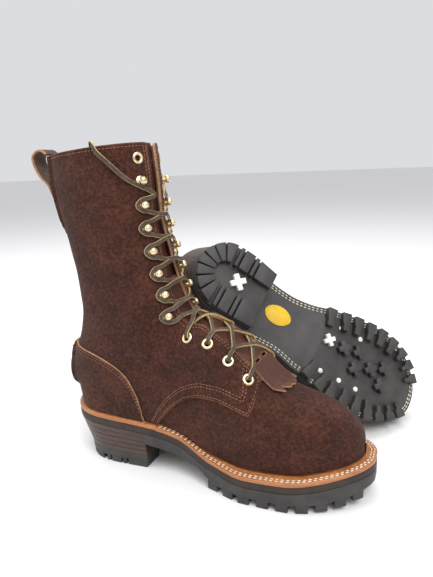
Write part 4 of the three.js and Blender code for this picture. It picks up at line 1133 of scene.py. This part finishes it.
@dataclass
class Hardware:
    """Brass eyelets and ball hooks."""

    facing: Facing
    eyelet_profile: tuple[tuple[float, float], ...] = (
        (2.7, -3.2), (3.2, -3.2), (3.3, 0.1), (4.9, 0.2), (5.2, 0.45), (5.0, 0.85), (4.2, 1.15),
        (3.3, 1.1), (2.8, 0.7), (2.6, 0.0))
    hook_profile: tuple[tuple[float, float], ...] = (
        (0.0, -3.0), (1.5, -3.0), (1.5, 0.1), (4.4, 0.15), (4.5, 0.5), (3.6, 0.95), (1.9, 1.3), (1.5, 2.0),
        (1.6, 2.6), (2.4, 2.9), (3.2, 3.7), (3.7, 4.9), (3.6, 6.2), (2.9, 7.4), (1.6, 8.2), (0.0, 8.45))

    def placed(self, shape: Shape, side: int, spots: Sequence[dict[str, float]]) -> Shape:
        """Returns a copy of the shape at each spot."""
        p = np.array([self.facing.at(side, self.facing.margin, **s) for s in spots])
        n = surface_normal(p)
        return shape.copies(p, np.tile([1.0, 0.1, 0.0], (len(p), 1)), n)

    def recipes(self) -> list[Recipe]:
        """Returns the rows of eyelets and hooks."""
        ring = spun(self.eyelet_profile, 28, closed=True)
        ball = spun(self.hook_profile, 28)
        made = []
        for side, name in ((LATERAL, "lateral"), (MEDIAL, "medial")):
            low = [{"x": x} for x in self.facing.eyelet_x]
            rows = (("eyelets", ring, low), ("top_eyelet", ring, [{"z": self.facing.top_z}]),
                    ("hooks", ball, [{"z": z} for z in self.facing.hook_z]))
            for kind, shape, spots in rows:
                made.append(Recipe(f"{kind}_{name}", self.placed(shape, side, spots), (BRASS,), "brass",
                                   (f"{kind}_{name}",), smooth=50))
        return made

    def holes(self) -> Array:
        """Returns the middle of each laced hole in the facings."""
        spots = [{"x": x} for x in self.facing.eyelet_x] + [{"z": self.facing.top_z}]
        return np.array([self.facing.at(side, self.facing.margin, **s) for side in (LATERAL, MEDIAL)
                         for s in spots])


def smooth_path(points: Array, step: float) -> Array:
    """Returns a centripetal Catmull-Rom curve through the points at an even step."""
    p = np.concatenate([[2 * points[0] - points[1]], points, [2 * points[-1] - points[-2]]])
    out = []
    for i in range(1, len(p) - 2):
        p0, p1, p2, p3 = p[i - 1:i + 3]
        t0 = 0.0
        t1, t2, t3 = np.cumsum([max(math.sqrt(np.linalg.norm(b - a)), 1e-3)
                                for a, b in ((p0, p1), (p1, p2), (p2, p3))])
        t = np.linspace(t1, t2, 12, endpoint=False)[:, None]
        a1 = (t1 - t) / (t1 - t0) * p0 + (t - t0) / (t1 - t0) * p1
        a2 = (t2 - t) / (t2 - t1) * p1 + (t - t1) / (t2 - t1) * p2
        a3 = (t3 - t) / (t3 - t2) * p2 + (t - t2) / (t3 - t2) * p3
        b1 = (t2 - t) / (t2 - t0) * a1 + (t - t0) / (t2 - t0) * a2
        b2 = (t3 - t) / (t3 - t1) * a2 + (t - t1) / (t3 - t1) * a3
        out.append((t2 - t) / (t2 - t1) * b1 + (t - t1) / (t2 - t1) * b2)
    line = np.concatenate(out + [points[-1:]])
    run = np.concatenate([[0], np.cumsum(np.linalg.norm(np.diff(line, axis=0), axis=1))])
    at = np.linspace(0, run[-1], max(2, int(run[-1] / step)))
    return np.stack([np.interp(at, run, line[:, k]) for k in range(3)], -1)


def strap_along(path: Array, sides: Array, width: float, thick: float) -> Shape:
    """Returns a flat strap with rounded corners; its narrow faces are cut leather."""
    ring = np.array([(-.5, -.28), (-.44, -.5), (.44, -.5), (.5, -.28), (.5, .28), (.44, .5), (-.44, .5),
                     (-.5, .28)]) * (width, thick)
    t = unit(np.gradient(path, axis=0))
    s = unit(sides - t * np.sum(sides * t, -1, keepdims=True))
    up = np.cross(s, t)
    loops = [path[i] + ring[:, :1] * s[i] + ring[:, 1:] * up[i] for i in range(len(path))]
    shape = lofted(loops)
    cut = {3, 7, 2, 4, 6, 0}
    n = len(ring)
    shape.looks = [Face.CUT.value if k < (len(path) - 1) * n and k % n in cut else
                   (Face.INNER.value if k % n == 1 else Face.OUTER.value) for k in range(len(shape.faces))]
    return shape


@dataclass
class Lacing:
    """One leather lace, crossed up the front and tucked over the rim at both ends."""

    facing: Facing
    width: float = 3.7
    thick: float = 1.9
    step: float = 1.6

    def post(self, side: int, spot: dict[str, float], off: float, lift: float, rise: float = 0.0) -> Array:
        """Returns a point beside an eyelet or hook.

        Args:
            side: Which facing.
            spot: The eyelet's x or the hook's z.
            off: The distance from the facing edge.
            lift: The height over the leather.
            rise: How far along the facing from the spot.
        """
        at = {"x": spot["x"] - rise} if "x" in spot else {"z": spot["z"] + rise}
        p = self.facing.at(side, off, **at)
        return p + surface_normal(p[None])[0] * lift

    def turn(self, side: int, spot: dict[str, float], first: bool) -> list[Array]:
        """Returns the lace's points at one eyelet or hook."""
        m = self.facing.margin
        if "x" in spot:
            under = [] if first else [(-4.0, -0.4), (1.0, -3.6)]
            path = under + [(m - 3.5, -4.8), (m - 0.3, -2.8), (m, 0.6), (m - 1.2, 2.7), (m - 5.5, 2.5),
                            (0.5, 2.1)]
            return [self.post(side, spot, off, lift) for off, lift in path]
        wrap = [(0.5, 2.3, -8.5), (m - 4.5, 2.6, -6.2), (m + 1.8, 2.7, -4.6), (m + 4.9, 2.8, 0.0),
                (m + 1.8, 3.2, 4.6), (m - 4.5, 3.6, 6.2), (0.5, 4.2, 8.5)]
        return [self.post(side, spot, off, lift, rise) for off, lift, rise in wrap]

    def run(self, start: int, over: float) -> list[Array]:
        """Returns one half of the lace, from the lowest eyelet to the sixth hook."""
        spots, path = self.facing.spots(), []
        for i, spot in enumerate(spots):
            side = start if i % 2 == 0 else -start
            turn = self.turn(side, spot, i == 0)
            if path:
                a, b = path[-1], turn[0]
                proud = over + (4.6 if "z" in spot else 1.0)
                for t, share in ((0.3, 0.75), (0.5, 1.0), (0.7, 0.75)):
                    path.append(self.lifted(a + (b - a) * t, proud * share))
            path += turn
        return path + self.tail(-start)

    def tail(self, side: int) -> list[Array]:
        """Returns the end that runs over the rim and hangs inside the shaft."""
        ways = ((282, 38, 3.4), (296, 54, 3.2), (306.5, 66, 3.9), (313.8, 71, 0.8), (308, 75, -6.6),
                (290, 77, -9), (262, 79, -9), (236, 80, -9))
        path = []
        for z, angle, lift in ways:
            a = math.radians(angle) * side
            d = np.array([[math.cos(a), math.sin(a), 0.0]])
            p = cast(np.array([[47.0, 0, min(z, 309)]]), d)[0]
            path.append(np.array([p[0], p[1], z]) + d[0] * lift)
        return path

    def lifted(self, p: Array, least_lift: float) -> Array:
        """Returns the point moved out until it stands this far off the upper."""
        q = p[None].copy()
        for _ in range(4):
            n = surface_normal(q)
            slope = (upper_field(q + n) - upper_field(q - n)) / 2
            q = q + n * np.maximum(0, least_lift - upper_field(q) / slope)[:, None]
        return q[0]

    def recipe(self) -> Recipe:
        """Returns the lace as one strap."""
        a, b = self.run(LATERAL, 1.6), self.run(MEDIAL, 3.9)
        bar = (a[0] + b[0]) / 2 + np.array([6.0, 0, -3.0])
        path = smooth_path(np.array(b[::-1] + [bar] + a), self.step)
        tangents = unit(np.gradient(path, axis=0))
        normals = surface_normal(path)
        side = np.cross(tangents[0], normals[0])
        sides = []
        for t, n in zip(tangents, normals):
            wanted = np.cross(t, n)
            weight = float(wanted @ wanted)
            side = side - t * (side @ t)
            side = unit(side) * (1 - 0.5 * weight) + wanted * 0.5 * math.copysign(1, wanted @ side or 1)
            sides.append(side)
        shape = strap_along(path, np.array(sides), self.width, self.thick)
        return Recipe("lace", shape, (LACE_FACE, LACE_CUT, LACE_FACE), "lace", ("lace",), smooth=50)


@dataclass
class PullLoop:
    """The strap at the back of the rim."""

    width: float = 20.0
    thick: float = 2.4
    reach: float = 25.0
    drop: float = 43.0
    above: float = 7.0
    clear: float = 5.6

    def recipe(self) -> Recipe:
        """Returns the loop, its ends sewn to the strip at the back."""
        z = SHAFT_TOP - 4.5
        back = lambda h: float(cast(np.array([[45.0, 0, h]]), np.array([[-1.0, 0, 0]]))[0, 0])
        low, high = back(z - self.drop), back(z - 2)
        route = [(low - self.clear, z - self.drop + 4), (low - 11, z - self.drop + 16), (high - 18, z - 18),
                 (high - self.reach + 1, z - 6), (high - self.reach, z + 1),
                 (high - self.reach + 5, z + self.above - 1), (high - 13, z + self.above),
                 (high - self.clear - 1.5, z + 3)]
        path = smooth_path(np.array([(x, 0.0, h) for x, h in route]), 2.0)
        sides = np.tile([0.0, 1.0, 0.0], (len(path), 1))
        shape = strap_along(path, sides, self.width, self.thick)
        return Recipe("pull_loop", shape, (STRAP_FACE, CUT, SMOOTH), "smooth", ("pull_loop",), "loop",
                      smooth=50)


# ---------------------------------------------------------------- the sole
def mid_bottom(x: Array) -> Array:
    """Returns the underside of the rand and midsole."""
    return SOLE_TOP(x) - RAND_THICK


def slip_bottom(x: Array) -> Array:
    """Returns the underside of the slip sole."""
    return mid_bottom(x) - LAYER_GAP - SLIP_THICK


def outsole_top(x: Array) -> Array:
    """Returns the top of the outsole."""
    return slip_bottom(x) - 0.02


def tread_root(x: Array) -> Array:
    """Returns the underside of the outsole between its lugs."""
    return np.minimum(SOLE_FLOOR(x) + LUG_DEPTH, outsole_top(x) - OUTSOLE_BASE)


def sole_layer(x0: float, x1: float, inset: float, top: Lift, bottom: Lift, soft: float) -> Shape:
    """Returns a layer of the sole with rounded edges."""
    t = (1 - np.cos(np.linspace(0, np.pi, 170))) / 2
    loops = []
    for x in x0 + (x1 - x0) * t:
        z1, z0 = float(top(x)), float(bottom(x))
        levels = ((soft, z1), (0.3 * soft, z1 - 0.3 * soft), (0, z1 - soft), (0, z0 + soft),
                  (0.3 * soft, z0 + 0.3 * soft), (soft, z0))
        half = lambda side, e: max(0.3, float(sole_half(side, x, inset + e)))
        loops.append(np.array([(x, -half(LATERAL, e), z) for e, z in levels]
                              + [(x, half(MEDIAL, e), z) for e, z in reversed(levels)]))
    return lofted(loops)


def edge_line(inset: float, x0: float, x1: float, height: Lift) -> Array:
    """Returns a line round the sole's edge from x0 on one side over the toe to x0 on the other."""
    t = np.sin(np.linspace(0, np.pi / 2, 260))
    x = x0 + (x1 - x0) * t
    sides = [np.stack([x, s * sole_half(s, x, inset), height(x)], -1) for s in (LATERAL, MEDIAL)]
    return np.concatenate([sides[0], sides[1][::-1]])


@dataclass
class Sole:
    """Rand, midsole, slip sole and lugged outsole, with their stitches."""

    lug_pitch: float = 17.2
    lug_width: float = 11.0
    lug_reach: float = 21.0
    crosses: tuple[tuple[float, float], ...] = ((196, 4), (214, 10), (216, -10), (234, 0), (250, 10),
                                                (252, -10))
    nails: tuple[tuple[float, float], ...] = ((186, 24), (212, 26), (182, -32), (206, -30), (228, -28))
    badge: tuple[float, float, float, float] = (118, 2, 15, 11)
    white_cross: tuple[float, float] = (177, 3)

    def edge_lugs(self, side: int) -> list[tuple[Array, float, float]]:
        """Returns the outlines of the lugs along one edge."""
        made, run, dx = [], self.lug_pitch * 0.5, 0.5
        for x in np.arange(158, 303, dx):
            y0, y1 = float(sole_half(side, x)), float(sole_half(side, x + dx))
            run += math.hypot(dx, y1 - y0)
            if run < self.lug_pitch:
                continue
            run -= self.lug_pitch
            along = unit(np.array([dx, side * (y1 - y0)]))
            inward = np.array([along[1] * side, -along[0] * side])
            toeward = x > 262
            reach, taper = (self.lug_reach * 0.8, 0.55) if toeward else (self.lug_reach, 0.85)
            half = self.lug_width / 2
            at = np.array([x, side * y0])
            uv = ((-half, 0.4), (-half * 0.96, reach * 0.45), (-half * taper * 0.8, reach * 0.62),
                  (-half * taper * 0.8, reach), (half * taper * 0.8, reach),
                  (half * taper * 0.8, reach * 0.62), (half * 0.96, reach * 0.45), (half, 0.4))
            z = float(SOLE_FLOOR(x))
            made.append((np.array([at + along * u + inward * v for u, v in uv]), z, z + LUG_DEPTH + 1.5))
        return made

    @staticmethod
    def cross(x: float, y: float, low: float, high: float, arm: float, half: float) -> tuple:
        """Returns the outline of a four-armed cross."""
        points = []
        for i in range(4):
            a = math.pi / 4 + i * math.pi / 2
            c, s = math.cos(a), math.sin(a)
            points += [(x + u * c - v * s, y + u * s + v * c)
                       for u, v in ((half, -half), (arm, -half), (arm, half))]
        return np.array(points), low, high

    def treads(self) -> Shape:
        """Returns the outsole's lugs and crosses."""
        blocks = self.edge_lugs(LATERAL) + self.edge_lugs(MEDIAL)
        for x, y in self.crosses:
            z = float(SOLE_FLOOR(x))
            blocks.append(self.cross(x, y, z + 0.6, z + LUG_DEPTH + 1.5, 8, 3))
        return prisms(blocks, 0.9)

    def inlay(self) -> Shape:
        """Returns the plain oval inlay under the waist."""
        x0, y0, long, wide = self.badge
        loops = []
        for u in -np.cos(np.linspace(0, np.pi, 30)):
            x, half = x0 + u * long, wide * math.sqrt(max(0.004, 1 - u * u))
            z = float(tread_root(x))
            rows = ((half, z), (half, z - 0.8), (half * 0.93, z - 1.2))
            loops.append(np.array([(x, y0 - h, w) for h, w in rows] + [(x, y0 + h, w) for h, w in rows[::-1]]))
        return lofted(loops)

    def stitches(self) -> Shape:
        """Returns the pale stitches on the welt and under the sole."""
        stitch, made = bead(3.6, 1.25, 0.9), []
        rows = ((2.3, 105.0, SOLE_TOP, 0.3, 1.0), (4.9, 105.0, SOLE_TOP, 0.3, 1.0),
                (3.4, 96.0, tread_root, -0.2, -1.0), (6.2, 96.0, tread_root, -0.2, -1.0))
        for inset, start, height, lift, up in rows:
            line = edge_line(inset, start, 304.4 - inset, height)
            places, along = walked(line, 4.7)
            places = places + np.array([0, 0, lift])
            made.append(stitch.copies(places, along, np.tile([0, 0, up], (len(places), 1))))
        return Shape.join(made)

    def nail_heads(self) -> Shape:
        """Returns the pale nail heads in the forepart."""
        at = np.array([(x, y, float(tread_root(x))) for x, y in self.nails])
        return bead(6.2, 6.2, 1.6).copies(at, np.tile([1.0, 0, 0], (len(at), 1)),
                                          np.tile([0, 0, -1.0], (len(at), 1)))

    def recipes(self) -> list[Recipe]:
        """Returns every piece of the sole ahead of and above the heel."""
        x, y = self.white_cross
        z = float(tread_root(x))
        back, tip = SOLE_BACK + 0.4, SOLE_TIP - 0.6
        base = sole_layer(HEEL_BREAST + 0.4, tip, 0, outsole_top, tread_root, 0.8)
        return [
            Recipe("heel_rand", sole_layer(back, 104, 0, lambda x: SOLE_TOP(x) + 0.9, mid_bottom, 1.6),
                   (RAND,), "rand", ("heel_rand",), smooth=60),
            Recipe("midsole", sole_layer(103.8, tip, 0, SOLE_TOP, mid_bottom, 0.9), (RAND,), "rand",
                   ("midsole",), smooth=60),
            Recipe("slip_sole", sole_layer(back, tip, 0.3, mid_bottom, slip_bottom, 0.9), (SLIP_AND_HOLE_SHADE,), "slip",
                   ("slip_sole",), smooth=60),
            Recipe("outsole", Shape.join([base, self.treads()]), (RUBBER,), "rubber", ("outsole",), smooth=50),
            Recipe("sole_inlay", self.inlay(), (OCHRE,), "ochre", ("sole_inlay",), smooth=60),
            Recipe("sole_cross", prisms([self.cross(x, y, z - 4.3, z - 0.1, 7, 2.4)], 0.6), (PALE,), "pale",
                   ("sole_cross",)),
            Recipe("sole_stitches", self.stitches(), (THREAD,), "rand", (), smooth=80),
            Recipe("sole_nails", self.nail_heads(), (PALE,), "pale", (), smooth=80)]


@dataclass
class Heel:
    """The stacked heel and its rubber cap."""

    back_low: float = 8.0
    sides_low: float = 3.0
    lifts: int = 5
    fan_centre: float = 41.0
    fan_lobes: int = 7
    recess: float = 13.0

    def stations(self) -> Array:
        """Returns shares of the heel's length, close together at its round back."""
        return (1 - np.cos(np.linspace(0, np.pi / 2, 46))) ** 1.1

    def half(self, side: int, u: float, pull: float) -> float:
        """Returns the half width a share u of the way from the back to the breast."""
        x = SOLE_BACK + 0.5 + (HEEL_BREAST - SOLE_BACK - 0.5) * u
        return max(0.6, float(sole_half(side, x)) - pull)

    def tapered(self, levels: Sequence[tuple[float, float, float]], top: Callable[[float], float],
                bottom: float) -> Shape:
        """Returns a heel block.

        Args:
            levels: The share of the height from the top, the back's x and the pull of the sides.
            top: The height of the top at x.
            bottom: The height of the bottom.
        """
        loops = []
        for u in self.stations():
            row = []
            for share, back, pull in levels:
                x = back + (HEEL_BREAST - back) * u
                z = top(x) + (bottom - top(x)) * share
                row.append((x, z, pull))
            loops.append(np.array([(x, -self.half(LATERAL, u, p), z) for x, z, p in row]
                                  + [(x, self.half(MEDIAL, u, p), z) for x, z, p in reversed(row)]))
        return lofted(loops)

    def stack(self) -> Shape:
        """Returns the lifts, with a fine groove between them."""
        levels = []
        for i in range(self.lifts):
            for share, sunk in ((0.0, 0.45), (0.06, 0.0), (0.5, -0.05), (0.94, 0.0)):
                t = (i + share) / self.lifts
                pull = 0.4 + (self.sides_low - 0.4) * t
                levels.append((t, SOLE_BACK + 0.5 + (self.back_low - SOLE_BACK - 0.5) * t + sunk, pull + sunk))
        levels.append((1.0, self.back_low + 0.3, self.sides_low + 0.3))
        return self.tapered(levels, lambda x: float(slip_bottom(x)), CAP_THICK)

    def edge(self) -> Array:
        """Returns the tread's outline, from the lateral breast round the back."""
        u = self.stations()
        x = self.back_low + 1 + (HEEL_BREAST - self.back_low - 1) * u
        halves = [np.array([self.half(s, k, self.sides_low + 0.6) for k in u]) for s in (LATERAL, MEDIAL)]
        return np.concatenate([np.stack([x, -halves[0]], -1)[::-1], np.stack([x, halves[1]], -1)])

    def tread(self) -> Shape:
        """Returns the fan of lobes at the back and the blocks along the sides."""
        edge = self.edge()
        centre = np.array([self.fan_centre, 0.0])
        spokes = edge - centre
        angle = np.degrees(np.arctan2(spokes[:, 1], spokes[:, 0])) % 360
        order = np.argsort(angle)
        angle, radius = angle[order], np.linalg.norm(spokes, axis=1)[order]
        blocks, first, last, gap = [], 92.0, 268.0, 3.0
        wide = (last - first) / self.fan_lobes
        for i in range(self.fan_lobes):
            a = np.radians(np.linspace(first + i * wide + gap / 2, first + (i + 1) * wide - gap / 2, 6))
            outer = np.interp(np.degrees(a), angle, radius)
            ways = np.stack([np.cos(a), np.sin(a)], -1)
            inner = centre + ways * self.recess
            blocks.append((np.concatenate([centre + ways * outer[:, None], inner[::-1]]), 0.0, 7.5))
        for x0, x1 in ((43.5, 47.5), (49.3, 61.0), (62.8, 67.0), (68.8, HEEL_BREAST - 0.5)):
            for side in (LATERAL, MEDIAL):
                xs = np.linspace(x0, x1, 5)
                line = edge[edge[:, 1] * side > 0]
                line = line[np.argsort(line[:, 0])]
                ys = np.interp(xs, line[:, 0], line[:, 1])
                rows = [(x, y) for x, y in zip(xs, ys)] + [(x1, side * self.recess), (x0, side * self.recess)]
                blocks.append((np.array(rows), 0.0, 7.5))
        return prisms(blocks, 0.8)

    def recipes(self) -> list[Recipe]:
        """Returns the stack, the cap, its pale cross and dark beads that paint the shade of its nail holes."""
        low, pull = self.back_low, self.sides_low
        base = self.tapered(((0.0, low + 0.2, pull + 0.2), (0.1, low, pull), (0.95, low + 0.5, pull + 0.3),
                             (1.0, low + 0.9, pull + 0.7)), lambda x: CAP_THICK, 6.3)
        spots = [(55, 23), (55, -23), (80, 24), (80, -24), (24, 17), (24, -17), (18.5, 0)]
        at = np.array([(x, y, 0.35) for x, y in spots])
        # Painted shade: flush beads of dark slip rubber stand in for the hollows of the nail holes, which are
        # not cut.
        holes = bead(3.0, 3.0, 0.8).copies(at, np.tile([1.0, 0, 0], (len(at), 1)),
                                           np.tile([0, 0, -1.0], (len(at), 1)))
        return [
            Recipe("heel_stack", self.stack(), (STACK,), "stack", ("heel_stack",), smooth=50),
            Recipe("heel_cap", Shape.join([base, self.tread()]), (RUBBER,), "rubber", ("heel_cap",), smooth=50),
            Recipe("heel_cross", prisms([Sole.cross(57, 0, 1.5, 7.0, 9, 3)], 0.7), (PALE,), "pale", ()),
            Recipe("heel_nail_hole_shades", holes, (SLIP_AND_HOLE_SHADE,), "slip", (), smooth=80)]


# ---------------------------------------------------------------- the studio
@dataclass
class Studio:
    """A pale floor, soft lights and the camera."""

    eye: tuple[float, float, float] = (340.47, -417.49, 286.56)
    yaw: float = 0.414
    pitch: float = 0.231
    roll: float = -0.039
    lens: float = 31.47
    sensor: float = 36.0

    def camera(self, place: Placement) -> None:
        """Makes the camera, placed from the standing boot."""
        data = bpy.data.cameras.new("camera")
        data.lens, data.sensor_width = self.lens, self.sensor
        data.clip_start, data.clip_end = 0.01, 50
        cam = bpy.data.objects.new("camera", data)
        bpy.context.collection.objects.link(cam)
        cy, sy, cp, sp = math.cos(self.yaw), math.sin(self.yaw), math.cos(self.pitch), math.sin(self.pitch)
        ahead = Vector((-sy * cp, cy * cp, -sp))
        right = Vector((cy, sy, 0))
        up = right.cross(ahead)
        c, s = math.cos(self.roll), math.sin(self.roll)
        x, y = right * c + up * s, up * c - right * s
        turn = Matrix((x, y, -ahead)).transposed().to_4x4()
        cam.matrix_world = Matrix.Translation(Vector(place.points(np.array(self.eye)))) @ turn
        bpy.context.scene.camera = cam

    def light(self, name: str, at: tuple, target: tuple, size: float, power: float) -> None:
        """Makes one soft light.

        Args:
            name: The light's name.
            at: Where it stands, in metres.
            target: What it points at.
            size: Its width in metres.
            power: Its power in watts.
        """
        data = bpy.data.lights.new(name, "AREA")
        data.size, data.energy = size, power
        obj = bpy.data.objects.new(name, data)
        obj.location = at
        obj.rotation_euler = (Vector(at) - Vector(target)).to_track_quat("Z", "Y").to_euler()
        bpy.context.collection.objects.link(obj)

    def build(self, place: Placement) -> None:
        """Makes the floor, the lights and the sky."""
        self.camera(place)
        bpy.ops.object.select_all(action="DESELECT")
        bpy.ops.mesh.primitive_plane_add(size=60)
        floor = bpy.context.object
        floor.name = "floor"
        g = Graph("floor")
        colour = g.mixed(g.grain(2, 2), (0.80, 0.795, 0.785), (0.83, 0.825, 0.815))
        floor.data.materials.append(g.finish(colour, g.grain(3, 2) * 0.05 + 0.7, g.grain(300, 2), 0.0001, {}))
        middle = (0.0, 0.0, 0.13)
        self.light("key", (0.9, -0.9, 1.5), middle, 1.1, 26)
        self.light("top", (-0.3, 0.3, 1.9), middle, 1.8, 24)
        self.light("fill", (-1.5, -0.9, 0.8), middle, 1.4, 9)
        world = bpy.data.worlds.new("sky")
        world.use_nodes = True
        world.node_tree.nodes["Background"].inputs["Color"].default_value = (0.95, 0.96, 1.0, 1)
        world.node_tree.nodes["Background"].inputs["Strength"].default_value = 0.75
        bpy.context.scene.world = world
        bpy.context.scene.view_settings.view_transform = "Standard"


HIDDEN = {"insole": INSOLE, "bottom_filler": CORK, "shank": STEEL, "heel_stiffener": LINING,
          "toe_puff": LINING}


def dress_nodes() -> None:
    """Gives the nodes that stay their finishes."""
    for side in Side:
        for name, finish in HIDDEN.items():
            data = bpy.data.objects[f"{side.value}_{name}"].data
            data.materials.clear()
            data.materials.append(dressed(finish))


def main() -> None:
    """Builds both boots and the studio."""
    logging.basicConfig(level=logging.INFO, format="%(name)s %(message)s")
    places = placements()
    Studio().build(places[Side.RIGHT])
    fine = 1.0
    skin = whole_skin(int(176 * fine), int(168 * fine), 14)
    facing = Facing(skin)
    hardware = Hardware(facing)
    upper = Upper(skin, holes=hardware.holes())
    recipes = (upper.recipes() + [Kiltie().recipe(), Lacing(facing).recipe(), PullLoop().recipe()]
               + hardware.recipes() + Sole().recipes() + Heel().recipes())
    for place in places.values():
        for recipe in recipes:
            recipe.make(place)
    dress_nodes()


if __name__ == "__main__":
    main()
